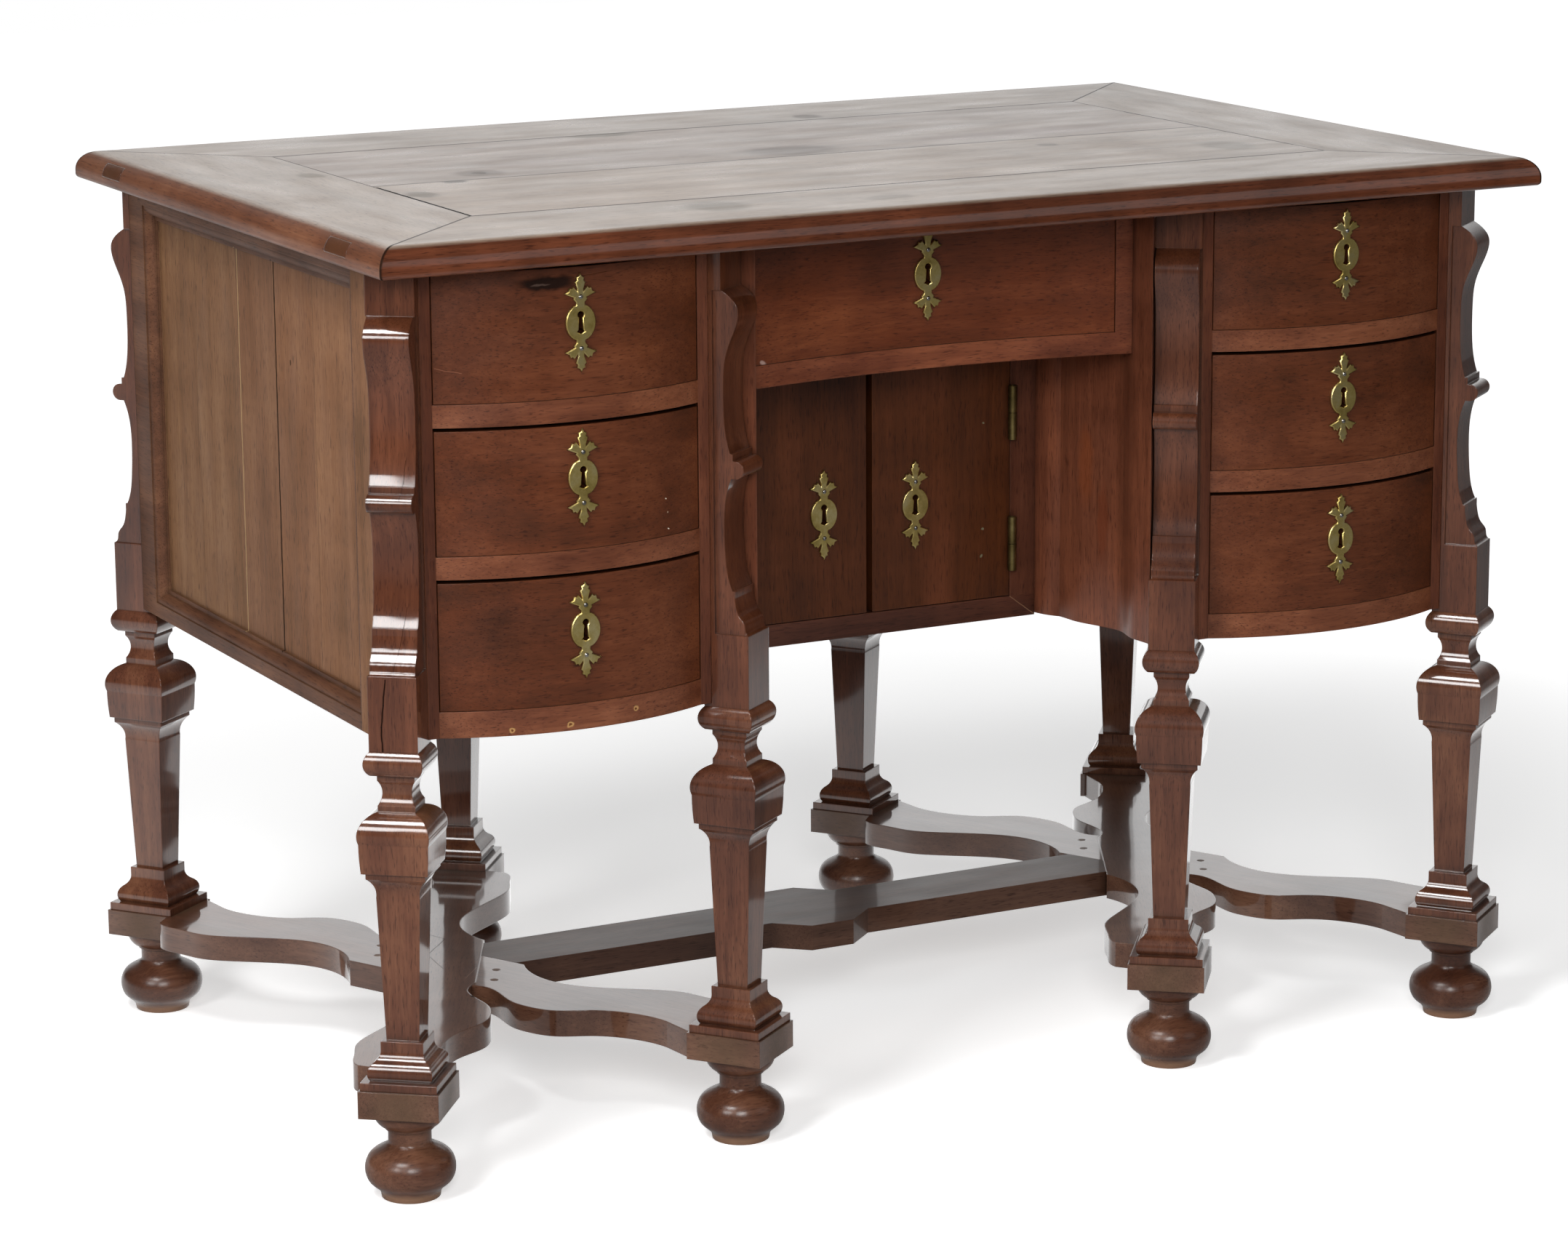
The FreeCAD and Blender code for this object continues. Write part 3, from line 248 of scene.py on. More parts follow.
def set_ramp(ramp, stops, interpolation="LINEAR"):
    """Gives a colour ramp node its stops, each a place from 0 to 1 and an sRGB colour."""
    elements = ramp.color_ramp.elements
    while len(elements) > 1:
        elements.remove(elements[-1])
    ramp.color_ramp.interpolation = interpolation
    elements[0].position = stops[0][0]
    elements[0].color = linear(stops[0][1])
    for place, colour in stops[1:]:
        elements.new(place).color = linear(colour)


def make_camera():
    """The camera at its fitted place, turned, tilted and rolled as it was for the photograph."""
    data = bpy.data.cameras.new("camera")
    data.lens = camera_lens
    data.sensor_width = camera_sensor
    camera = bpy.data.objects.new("camera", data)
    bpy.context.scene.collection.objects.link(camera)
    turn = Matrix.Rotation(math.radians(-camera_azimuth), 3, "Z")
    tilt = Matrix.Rotation(math.radians(90 + camera_pitch), 3, "X")
    roll = Matrix.Rotation(math.radians(camera_roll), 3, "Z")
    camera.matrix_world = Matrix.Translation(camera_place) @ (turn @ tilt @ roll).to_4x4()
    bpy.context.scene.camera = camera
    bpy.context.scene.view_settings.view_transform = "Standard"


def make_lamp(name, place, size, watts):
    """A square soft box that faces the middle of the desk."""
    data = bpy.data.lights.new(name, "AREA")
    data.size = size
    data.energy = watts
    lamp = bpy.data.objects.new(name, data)
    bpy.context.scene.collection.objects.link(lamp)
    aim = (desk_middle - place).to_track_quat("-Z", "Y")
    lamp.matrix_world = Matrix.Translation(place) @ aim.to_matrix().to_4x4()


def make_sky():
    """White where the camera looks; in reflections a white paper back wall in a dim room."""
    world = bpy.data.worlds.new("studio")
    bpy.context.scene.world = world
    world.use_nodes = True
    tree = world.node_tree
    tree.nodes.clear()
    path = add(tree, "ShaderNodeLightPath")
    place = add(tree, "ShaderNodeTexCoord")
    behind = (math.sin(math.radians(camera_azimuth)), math.cos(math.radians(camera_azimuth)), 0.0)
    facing = add(tree, "ShaderNodeVectorMath", {
        0: place.outputs["Generated"], 1: behind}, operation="DOT_PRODUCT")
    gloss = add(tree, "ShaderNodeMapRange", {
        "Value": facing.outputs["Value"], "From Min": back_glow_edge, "From Max": back_glow_full,
        "To Min": room_gloss_level, "To Max": back_gloss_level}, interpolation_type="SMOOTHSTEP")
    seen_in_gloss = add(tree, "ShaderNodeMix", {
        "Factor": path.outputs["Is Glossy Ray"], 2: sky_level, 3: gloss.outputs["Result"]})
    seen = add(tree, "ShaderNodeMath", {
        0: path.outputs["Is Camera Ray"], 1: path.outputs["Is Transmission Ray"]},
        operation="MAXIMUM")
    level = add(tree, "ShaderNodeMix", {
        "Factor": seen.outputs[0], 2: seen_in_gloss.outputs[0], 3: 1.0})
    sky = add(tree, "ShaderNodeBackground", {
        "Color": linear(room_white), "Strength": level.outputs[0]})
    add(tree, "ShaderNodeOutputWorld", {"Surface": sky.outputs[0]})


def make_floor():
    """A white paper sweep: it takes the desk's soft shadow and fades into the white behind.

    In reflections it brightens towards the back wall and falls dark on the right of the room."""
    bpy.ops.mesh.primitive_plane_add(size=2 * floor_half_size, location=(0, 0, 0))
    floor = bpy.context.object
    floor.name = "floor"
    paper = new_material("white_paper_floor")
    tree = paper.node_tree
    path = add(tree, "ShaderNodeLightPath")
    place = add(tree, "ShaderNodeTexCoord")
    axes = add(tree, "ShaderNodeSeparateXYZ", {0: place.outputs["Object"]})
    near = add(tree, "ShaderNodeMapRange", {
        "Value": axes.outputs["Y"], "From Min": floor_front_y[0], "From Max": floor_front_y[1],
        "To Min": room_gloss_level, "To Max": floor_gloss_level}, interpolation_type="SMOOTHSTEP")
    far = add(tree, "ShaderNodeMapRange", {
        "Value": axes.outputs["Y"], "From Min": floor_back_y[0], "From Max": floor_back_y[1],
        "To Min": 0.0, "To Max": back_gloss_level - floor_gloss_level},
        interpolation_type="SMOOTHSTEP")
    whole = add(tree, "ShaderNodeMath", {0: near.outputs[0], 1: far.outputs[0]}, operation="ADD")
    right = add(tree, "ShaderNodeMapRange", {
        "Value": axes.outputs["X"], "From Min": floor_right_x[0], "From Max": floor_right_x[1],
        "To Min": 1.0, "To Max": floor_right_share}, interpolation_type="SMOOTHSTEP")
    gloss = add(tree, "ShaderNodeMath", {
        0: whole.outputs[0], 1: right.outputs[0]}, operation="MULTIPLY")
    from_desk = add(tree, "ShaderNodeVectorMath", {
        0: place.outputs["Object"]}, operation="LENGTH")
    sweep = add(tree, "ShaderNodeMapRange", {
        "Value": from_desk.outputs["Value"], "From Min": floor_sweep_reach[0],
        "From Max": floor_sweep_reach[1],
        "To Min": floor_glow_near, "To Max": floor_glow_far}, interpolation_type="SMOOTHSTEP")
    glow = add(tree, "ShaderNodeMath", {
        0: path.outputs["Is Camera Ray"], 1: sweep.outputs["Result"]}, operation="MULTIPLY")
    matt = add(tree, "ShaderNodeBsdfDiffuse", {"Color": linear(floor_white)})
    shine = add(tree, "ShaderNodeEmission", {
        "Color": linear(room_white), "Strength": glow.outputs[0]})
    seen = add(tree, "ShaderNodeAddShader", {0: matt.outputs[0], 1: shine.outputs[0]})
    mirror = add(tree, "ShaderNodeEmission", {
        "Color": linear(room_white), "Strength": gloss.outputs[0]})
    surface = add(tree, "ShaderNodeMixShader", {
        0: path.outputs["Is Glossy Ray"], 1: seen.outputs[0], 2: mirror.outputs[0]})
    add(tree, "ShaderNodeOutputMaterial", {"Surface": surface.outputs[0]})
    floor.data.materials.append(paper)


def grain_way(tree, place, grain, turn):
    """The piece's coordinates turned so that the grain runs along X."""
    if turn:
        turned = add(tree, "ShaderNodeMapping", {
            "Vector": place, "Rotation": (0.0, 0.0, math.radians(-turn))})
        return turned.outputs[0]
    if grain == "X":
        return place
    axes = add(tree, "ShaderNodeSeparateXYZ", {0: place})
    order = {"Y": "YZX", "Z": "ZXY"}[grain]
    turned = add(tree, "ShaderNodeCombineXYZ", {
        index: axes.outputs[letter] for index, letter in enumerate(order)})
    return turned.outputs[0]


def outside(tree, axes, letter, half, middle=0.0, blend=0.1, both_sides=True):
    """1 where a place is further than a half width from a middle, on one or both sides."""
    measured = axes.outputs[letter]
    if both_sides:
        measured = add(tree, "ShaderNodeMath", {0: measured}, operation="ABSOLUTE").outputs[0]
    from_middle = add(tree, "ShaderNodeMath", {0: measured, 1: middle * mm}, operation="SUBTRACT")
    distance = add(tree, "ShaderNodeMath", {0: from_middle.outputs[0]}, operation="ABSOLUTE")
    past = add(tree, "ShaderNodeMapRange", {
        "Value": distance.outputs[0],
        "From Min": (half - blend / 2) * mm, "From Max": (half + blend / 2) * mm})
    return past.outputs[0]


def joint(tree, place, across, at, width, both_sides=False):
    """1 on a thin line, where a place measured across it lies at one distance from the middle."""
    if both_sides:
        place = add(tree, "ShaderNodeVectorMath", {0: place}, operation="ABSOLUTE").outputs[0]
    measured = add(tree, "ShaderNodeVectorMath", {0: place, 1: across}, operation="DOT_PRODUCT")
    away = add(tree, "ShaderNodeMath", {
        0: measured.outputs["Value"], 1: at * mm}, operation="SUBTRACT")
    distance = add(tree, "ShaderNodeMath", {0: away.outputs[0]}, operation="ABSOLUTE")
    line = add(tree, "ShaderNodeMapRange", {
        "Value": distance.outputs[0],
        "From Min": width / line_edge_part * mm, "From Max": width / line_core_part * mm})
    return line.outputs[0]


def crack(tree, place, start, end, width, into):
    """1 near the line between two points, seen along the way that it goes into the wood."""
    first = Vector(start) * mm
    inward = Vector(into)
    run = Vector(end) * mm - first
    run = run - inward * run.dot(inward) / inward.length_squared
    away = add(tree, "ShaderNodeVectorMath", {0: place, 1: first}, operation="SUBTRACT")
    depth = add(tree, "ShaderNodeVectorMath", {0: away.outputs[0], 1: inward}, operation="PROJECT")
    flat = add(tree, "ShaderNodeVectorMath", {
        0: away.outputs[0], 1: depth.outputs[0]}, operation="SUBTRACT")
    share = add(tree, "ShaderNodeVectorMath", {
        0: flat.outputs[0], 1: run / run.length_squared}, operation="DOT_PRODUCT")
    kept = add(tree, "ShaderNodeMath", {
        0: share.outputs["Value"], 1: 1.0}, operation="MULTIPLY", use_clamp=True)
    nearest = add(tree, "ShaderNodeVectorMath", {
        0: run, "Scale": kept.outputs[0]}, operation="SCALE")
    distance = add(tree, "ShaderNodeVectorMath", {
        0: flat.outputs[0], 1: nearest.outputs[0]}, operation="DISTANCE")
    line = add(tree, "ShaderNodeMapRange", {
        "Value": distance.outputs["Value"],
        "From Min": width / line_edge_part * mm, "From Max": width / line_core_part * mm})
    return line.outputs[0]


def spot(tree, place, centre, half_size):
    """1 inside a soft patch and 0 outside it."""
    away = add(tree, "ShaderNodeVectorMath", {
        0: place, 1: Vector(centre) * mm}, operation="SUBTRACT")
    scaled = add(tree, "ShaderNodeVectorMath", {
        0: away.outputs[0], 1: Vector(half_size) * mm}, operation="DIVIDE")
    reach = add(tree, "ShaderNodeVectorMath", {0: scaled.outputs[0]}, operation="LENGTH")
    patch = add(tree, "ShaderNodeMapRange", {
        "Value": reach.outputs["Value"], "From Min": spot_edge, "From Max": spot_core},
        interpolation_type="SMOOTHSTEP")
    return patch.outputs[0]


def uneven(tree, place, size_mm, amount_mm):
    """Places moved a little to and fro: a line or patch laid there gets a natural outline."""
    wander = add(tree, "ShaderNodeTexNoise", {
        "Vector": place, "Scale": 1 / (size_mm * mm), "Detail": 2.0})
    centred = add(tree, "ShaderNodeVectorMath", {
        0: wander.outputs["Color"], 1: (noise_middle,) * 3}, operation="SUBTRACT")
    moved = add(tree, "ShaderNodeVectorMath", {
        0: centred.outputs[0], 1: (amount_mm * mm,) * 3, 2: place},
        operation="MULTIPLY_ADD")
    return moved.outputs[0]


def draw_marks(tree, place, colour, marks):
    """Lays joints, cracks and stains over a colour, each with its own tint and strength.

    It also gives how much they take the shine away at each place."""
    if not marks:
        return colour, None
    dull = None
    wandering = {
        joint: uneven(tree, place, *joint_wander),
        crack: uneven(tree, place, *crack_wander),
        spot: uneven(tree, place, *spot_wander),
    }
    for kind, measures, tint, strength in marks:
        shape = kind(tree, wandering[kind], *measures)
        weak = add(tree, "ShaderNodeMath", {0: shape, 1: strength}, operation="MULTIPLY")
        laid = add(tree, "ShaderNodeMix", {
            "Factor": weak.outputs[0], 6: colour, 7: linear(tint)}, data_type="RGBA")
        colour = laid.outputs[2]
        if dull is None:
            dull = weak.outputs[0]
        else:
            dull = add(tree, "ShaderNodeMath", {
                0: dull, 1: weak.outputs[0]}, operation="MAXIMUM").outputs[0]
    return colour, dull


def part_of_two(tree, where, first, other):
    """One number on a piece's first part and another on its second part."""
    if first == other:
        return first
    return add(tree, "ShaderNodeMix", {"Factor": where, 2: first, 3: other}).outputs[0]


def dulled(tree, dull, level):
    """A level of shine that marks take away."""
    if dull is None:
        return level
    left = add(tree, "ShaderNodeMapRange", {"Value": dull, "To Min": 1.0, "To Max": 0.0})
    return add(tree, "ShaderNodeMath", {
        0: left.outputs[0], 1: level}, operation="MULTIPLY").outputs[0]


def wood_pattern(tree, way, figure_mm):
    """The tone of mahogany sawn along X, and its pores: short dark dashes along the grain."""
    bent = uneven(tree, way, wander_size, wander_reach)
    band_place = add(tree, "ShaderNodeMapping", {
        "Vector": bent, "Scale": (figure_stretch, 1.0, 1.0)})
    bands = add(tree, "ShaderNodeTexNoise", {
        "Vector": band_place.outputs[0], "Scale": 1 / (figure_mm * mm), "Detail": 4.0,
        "Roughness": 0.6, "Distortion": 0.4})
    fibre_place = add(tree, "ShaderNodeMapping", {
        "Vector": bent, "Scale": (fibre_stretch, 1.0, 1.0)})
    fibres = add(tree, "ShaderNodeTexNoise", {
        "Vector": fibre_place.outputs[0], "Scale": 1 / (fibre_width * mm), "Detail": 2.0,
        "Roughness": 0.6})
    ribbon_place = add(tree, "ShaderNodeMapping", {
        "Vector": way, "Scale": (1.0, ribbon_stretch, ribbon_stretch),
        "Rotation": (0.0, ribbon_lean, ribbon_lean)})
    ribbon = add(tree, "ShaderNodeTexNoise", {
        "Vector": ribbon_place.outputs[0], "Scale": 1 / (ribbon_size * mm), "Detail": 1.0})
    ageing = add(tree, "ShaderNodeTexNoise", {
        "Vector": way, "Scale": 1 / (ageing_size * mm), "Detail": 2.0})
    pore_place = add(tree, "ShaderNodeMapping", {
        "Vector": bent, "Scale": (pore_stretch, 1.0, 1.0)})
    pores = add(tree, "ShaderNodeTexNoise", {
        "Vector": pore_place.outputs[0], "Scale": 1 / (pore_width * mm), "Detail": 1.0})
    tone = bands.outputs["Fac"]
    for share, layer in ((fibre_share, fibres), (ribbon_share, ribbon), (ageing_share, ageing)):
        tone = add(tree, "ShaderNodeMix", {
            "Factor": share, 2: tone, 3: layer.outputs["Fac"]}).outputs[0]
    return tone, pores.outputs["Fac"]


def part_outside(tree, axes, bounds):
    """1 on the part of a piece that lies outside every one of its bounds."""
    where = None
    for measures in bounds:
        here = outside(tree, axes, *measures)
        if where is None:
            where = here
        else:
            where = add(tree, "ShaderNodeMath", {
                0: where, 1: here}, operation="MULTIPLY").outputs[0]
    return where


def wear_and_corner_shade(tree, colour, tone, rounded, wear, worn):
    """Handling rubs the edges lighter, and painted shade darkens the corners and recesses."""
    face = add(tree, "ShaderNodeNewGeometry")
    flatness = add(tree, "ShaderNodeVectorMath", {
        0: rounded.outputs[0], 1: face.outputs["Normal"]}, operation="DOT_PRODUCT")
    edge = add(tree, "ShaderNodeMapRange", {
        "Value": flatness.outputs["Value"], "From Min": edge_start, "From Max": edge_full,
        "To Min": 0.0, "To Max": worn})
    patchy = add(tree, "ShaderNodeMath", {0: edge.outputs[0], 1: tone}, operation="MULTIPLY")
    colour = add(tree, "ShaderNodeMix", {
        "Factor": patchy.outputs[0], 6: colour, 7: linear(wear)}, data_type="RGBA").outputs[2]
    # Painted shade: ambient occlusion darkens corners and recesses, where shade falls
    open_air = add(tree, "ShaderNodeAmbientOcclusion", {"Distance": corner_shade_reach * mm}, samples=2)
    painted_corner_shade = add(tree, "ShaderNodeMapRange", {
        "Value": open_air.outputs["AO"], "From Min": corner_shade_start, "From Max": corner_shade_full,
        "To Min": 0.0, "To Max": corner_shade_share})
    darkened = add(tree, "ShaderNodeMix", {
        "Factor": painted_corner_shade.outputs[0], 6: colour, 7: linear(corner_shade_tint)}, data_type="RGBA")
    return darkened.outputs[2]


def wood(name, tones, grain="Z", roughness=0.34, shine=0.4, coat=0.0, figure_mm=30.0, turn=0.0,
         wear="#8A5233", worn=0.45, marks=(), second=None, boards=None):
    """A cabinet wood under its finish, with its wear and its marks.

    second gives a part of the piece another look, with its own tones and grain, and boards
    gives each board along an axis its own tint."""
    material = new_material(name)
    tree = material.node_tree
    place = add(tree, "ShaderNodeTexCoord").outputs["Object"]
    axes = add(tree, "ShaderNodeSeparateXYZ", {0: place})
    chance = add(tree, "ShaderNodeObjectInfo").outputs["Random"]
    way = grain_way(tree, place, grain, turn)
    if second:
        where = part_outside(tree, axes, second["where"])
        other_way = grain_way(tree, place, second["grain"], 0.0)
        way = add(tree, "ShaderNodeMix", {
            "Factor": where, 4: way, 5: other_way}, data_type="VECTOR").outputs[1]
    own_place = add(tree, "ShaderNodeVectorMath", {
        0: piece_offset, "Scale": chance}, operation="SCALE")
    way = add(tree, "ShaderNodeVectorMath", {
        0: way, 1: own_place.outputs[0]}, operation="ADD").outputs[0]
    board_tone = None
    boarded = 1.0
    if boards:
        letter, stops = boards
        along = add(tree, "ShaderNodeMath", {
            0: axes.outputs[letter], 1: ramp_middle}, operation="ADD")
        board_tone = add(tree, "ShaderNodeValToRGB", {0: along.outputs[0]})
        set_ramp(board_tone, [(ramp_middle + at * mm, tint) for at, tint in stops], "CONSTANT")
        if not second["boarded"]:
            boarded = add(tree, "ShaderNodeMath", {
                0: 1.0, 1: where}, operation="SUBTRACT").outputs[0]
        own_board = add(tree, "ShaderNodeVectorMath", {
            0: board_tone.outputs["Color"], "Scale": boarded}, operation="SCALE")
        way = add(tree, "ShaderNodeVectorMath", {
            0: own_board.outputs[0], 1: board_offset, 2: way},
            operation="MULTIPLY_ADD").outputs[0]
    tone, pores = wood_pattern(tree, way, figure_mm)
    colour = add(tree, "ShaderNodeValToRGB", {0: tone})
    set_ramp(colour, list(zip(tone_places, tones)))
    colour = colour.outputs["Color"]
    if second:
        other = add(tree, "ShaderNodeValToRGB", {0: tone})
        set_ramp(other, list(zip(tone_places, second["tones"])))
        colour = add(tree, "ShaderNodeMix", {
            "Factor": where, 6: colour, 7: other.outputs["Color"]}, data_type="RGBA").outputs[2]
        roughness = part_of_two(tree, where, roughness, second["roughness"])
        shine = part_of_two(tree, where, shine, second["shine"])
        coat = part_of_two(tree, where, coat, second["coat"])
    if board_tone:
        colour = add(tree, "ShaderNodeMix", {
            "Factor": boarded, 6: colour, 7: board_tone.outputs["Color"]},
            data_type="RGBA", blend_type="MULTIPLY").outputs[2]
    pore_mask = add(tree, "ShaderNodeMapRange", {
        "Value": pores, "From Min": pore_edge, "From Max": pore_middle,
        "To Min": 0.0, "To Max": pore_share})
    colour = add(tree, "ShaderNodeMix", {
        "Factor": pore_mask.outputs[0], 6: colour, 7: linear(pore_tint)},
        data_type="RGBA", blend_type="MULTIPLY").outputs[2]
    rounded = add(tree, "ShaderNodeBevel", {"Radius": edge_radius * mm}, samples=3)
    colour = wear_and_corner_shade(tree, colour, tone, rounded, wear, worn)
    colour, dull = draw_marks(tree, place, colour, marks)
    wiped_place = add(tree, "ShaderNodeMapping", {
        "Vector": way, "Scale": (wiped_stretch, 1.0, 1.0)})
    wiped = add(tree, "ShaderNodeTexNoise", {
        "Vector": wiped_place.outputs[0], "Scale": 1 / (wiped_size * mm), "Detail": 3.0})
    polish = add(tree, "ShaderNodeMapRange", {
        "Value": wiped.outputs["Fac"], "From Min": noise_low, "From Max": noise_high,
        "To Min": wiped_smoother, "To Max": wiped_rougher})
    gloss = add(tree, "ShaderNodeMath", {0: polish.outputs[0], 1: roughness}, operation="ADD")
    planed = add(tree, "ShaderNodeTexNoise", {
        "Vector": way, "Scale": 1 / (plane_mark_size * mm), "Detail": 0.0})
    hand_planed = add(tree, "ShaderNodeBump", {
        "Height": planed.outputs["Fac"], "Strength": plane_mark_strength,
        "Distance": plane_mark_depth * mm, "Normal": rounded.outputs[0]})
    relief = add(tree, "ShaderNodeBump", {
        "Height": pores, "Strength": pore_relief_strength,
        "Distance": pore_relief * mm, "Normal": hand_planed.outputs[0]}, invert=True)
    surface = add(tree, "ShaderNodeBsdfPrincipled", {
        "Base Color": colour, "Roughness": gloss.outputs[0], "Normal": relief.outputs[0],
        "IOR": wood_ior, "Specular IOR Level": dulled(tree, dull, shine),
        "Coat Weight": dulled(tree, dull, coat), "Coat Roughness": polish_roughness,
        "Coat IOR": polish_ior, "Coat Normal": hand_planed.outputs[0]})
    add(tree, "ShaderNodeOutputMaterial", {"Surface": surface.outputs[0]})
    return material


def metal(name, tones, roughness, iron_behind=None):
    """Aged metal, rubbed bright on its high places; what lies behind a front is iron."""
    material = new_material(name)
    tree = material.node_tree
    place = add(tree, "ShaderNodeTexCoord").outputs["Object"]
    tarnish = add(tree, "ShaderNodeTexNoise", {
        "Vector": place, "Scale": 1 / (tarnish_size * mm), "Detail": 5.0, "Roughness": 0.65})
    colour = add(tree, "ShaderNodeValToRGB", {0: tarnish.outputs["Fac"]})
    set_ramp(colour, list(zip(metal_tone_places, tones)))
    colour = colour.outputs["Color"]
    if iron_behind:
        axes = add(tree, "ShaderNodeSeparateXYZ", {0: place})
        in_front = outside(tree, axes, "Y", iron_behind)
        colour = add(tree, "ShaderNodeMix", {
            "Factor": in_front, 6: linear(iron_colour), 7: colour}, data_type="RGBA").outputs[2]
    rounded = add(tree, "ShaderNodeBevel", {"Radius": metal_edge_radius * mm}, samples=4)
    polish = add(tree, "ShaderNodeMapRange", {
        "Value": tarnish.outputs["Fac"], "From Min": noise_low, "From Max": noise_high,
        "To Min": roughness + tarnish_rougher, "To Max": roughness - tarnish_smoother})
    scuffs = add(tree, "ShaderNodeTexNoise", {
        "Vector": place, "Scale": 1 / (scuff_size * mm), "Detail": 2.0})
    relief = add(tree, "ShaderNodeBump", {
        "Height": scuffs.outputs["Fac"], "Strength": scuff_strength,
        "Distance": scuff_depth * mm, "Normal": rounded.outputs[0]})
    surface = add(tree, "ShaderNodeBsdfPrincipled", {
        "Base Color": colour, "Roughness": polish.outputs[0],
        "Normal": relief.outputs[0], "Metallic": 1.0})
    add(tree, "ShaderNodeOutputMaterial", {"Surface": surface.outputs[0]})
    return material


def dress(material, *names):
    """Gives pieces one finish all over."""
    for name in names:
        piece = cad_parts[name]
        piece.data.materials.clear()
        piece.data.materials.append(material)


def escutcheon_outline():
    """The plate's right half from the upper tip to the lower one, then its left half back up."""
    leaf = [(leaf_half_width * x, oval_half_height + leaf_height * z) for x, z in leaf_shares]
    root_angle = math.acos(leaf[0][0] / oval_half_width)
    half = leaf[::-1]
    for step in range(1, oval_steps):
        angle = root_angle * (1 - 2 * step / oval_steps)
        half.append((oval_half_width * math.cos(angle), oval_half_height * math.sin(angle)))
    half += [(x, -z) for x, z in leaf]
    return half + [(-x, z) for x, z in half[-2:0:-1]]


def keyhole_outline():
    """A round head over a foot that flares out."""
    points = []
    first = math.radians(keyhole_head_start)
    sweep = math.radians(keyhole_head_sweep)
    for step in range(keyhole_steps + 1):
        angle = first + sweep * step / keyhole_steps
        points.append((keyhole_head_radius * math.cos(angle),
                       keyhole_head_z + keyhole_head_radius * math.sin(angle)))
    return points + list(keyhole_foot)


def make_escutcheon_plate():
    """A cast plate with filed, slanting edges: it stands on the origin and faces -Y."""
    data = bpy.data.curves.new("escutcheon_plate", "CURVE")
    data.dimensions = "2D"
    data.fill_mode = "BOTH"
    data.extrude = plate_half_thickness * mm
    data.bevel_depth = plate_bevel * mm
    data.bevel_resolution = 0
    data.offset = (plate_overlap - plate_bevel) * mm
    for outline in (escutcheon_outline(), keyhole_outline()):
        line = data.splines.new("POLY")
        line.points.add(len(outline) - 1)
        for point, (x, z) in zip(line.points, outline):
            point.co = (x * mm, z * mm, 0.0, 1.0)
        line.use_cyclic_u = True
    plate = bpy.data.objects.new("escutcheon_plate", data)
    bpy.context.scene.collection.objects.link(plate)
    bpy.ops.object.select_all(action="DESELECT")
    plate.select_set(True)
    bpy.context.view_layer.objects.active = plate
    bpy.ops.object.convert(target="MESH")
    plate = bpy.context.object
    plate.data.transform(Matrix.Rotation(math.radians(90), 4, "X"))
    bpy.ops.object.mode_set(mode="EDIT")
    bpy.ops.mesh.select_all(action="SELECT")
    bpy.ops.mesh.remove_doubles(threshold=weld_distance * mm)
    bpy.ops.mesh.normals_make_consistent(inside=False)
    bpy.ops.object.mode_set(mode="OBJECT")
    return plate


def make_pins():
    """Two domed steel pins, one above and one below the oval."""
    bpy.ops.object.select_all(action="DESELECT")
    bpy.ops.mesh.primitive_uv_sphere_add(
        segments=pin_segments, ring_count=pin_rings, radius=pin_radius * mm)
    pins = bpy.context.object
    bpy.ops.object.mode_set(mode="EDIT")
    bpy.ops.mesh.select_all(action="SELECT")
    bpy.ops.mesh.bisect(
        plane_co=(0, 0, 0), plane_no=(0, 1, 0), use_fill=True, clear_outer=True)
    bpy.ops.mesh.select_all(action="SELECT")
    bpy.ops.transform.resize(value=(1.0, pin_height_share, 1.0), center_override=(0, 0, 0))
    bpy.ops.transform.translate(value=(0, 0, pin_rise * mm))
    bpy.ops.mesh.duplicate()
    bpy.ops.transform.translate(value=(0, 0, -2 * pin_rise * mm))
    bpy.ops.mesh.select_all(action="SELECT")
    bpy.ops.mesh.normals_make_consistent(inside=False)
    bpy.ops.object.mode_set(mode="OBJECT")
    bpy.ops.object.shade_smooth_by_angle(angle=math.radians(smooth_up_to))
    return pins


def place_copy(model, name, place, body, material):
    """A copy of a finished piece with its own mesh, moved to its place and riding with a body."""
    piece = model.copy()
    piece.data = model.data.copy()
    piece.name = name
    bpy.context.scene.collection.objects.link(piece)
    piece.data.transform(Matrix.Translation(place))
    piece.data.materials.clear()
    piece.data.materials.append(material)
    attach(piece, body)


def fit_escutcheons(brass, steel):
    """Fits each escutcheon with its raised plate and the domed heads of its two pins."""
    plate = make_escutcheon_plate()
    pins = make_pins()
    for name in list(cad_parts):
        if not name.endswith("_escutcheon"):
            continue
        low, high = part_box(name)
        if "door" in name:
            x = math.copysign(door_escutcheon_x, low.x + high.x) * mm
            z = door_escutcheon_z * mm
            face_y = door_face_y * mm
        else:
            x = (low.x + high.x) / 2
            z = low.z + (oval_half_height + leaf_height) * mm
            face_y = low.y + escutcheon_front * mm
        body = name.replace("_escutcheon", "_body")
        plate_place = Vector((x, face_y - plate_middle * mm, z))
        pin_place = Vector((x, face_y - pin_foot * mm, z))
        place_copy(plate, name + "_plate", plate_place, body, brass)
        place_copy(pins, name + "_pins", pin_place, body, steel)
    for model in (plate, pins):
        bpy.data.objects.remove(model)


make_camera()
make_sky()
make_floor()
make_lamp("key_lamp", key_place, key_size, key_watts)
make_lamp("left_lamp", left_place, left_size, left_watts)
make_lamp("overhead_lamp", overhead_place, overhead_size, overhead_watts)
make_lamp("fill_lamp", fill_place, fill_size, fill_watts)

# Plain wood behind the fronts: never polished, so dry, pale and matt
plain_tones = ("#5F4127", "#7E5A39", "#9A7450")

# Mahogany drawer fronts, hand polished with shellac and wax: a deep red brown with a soft sheen
drawer_tones = ("#3A1D0E", "#522915", "#683921")

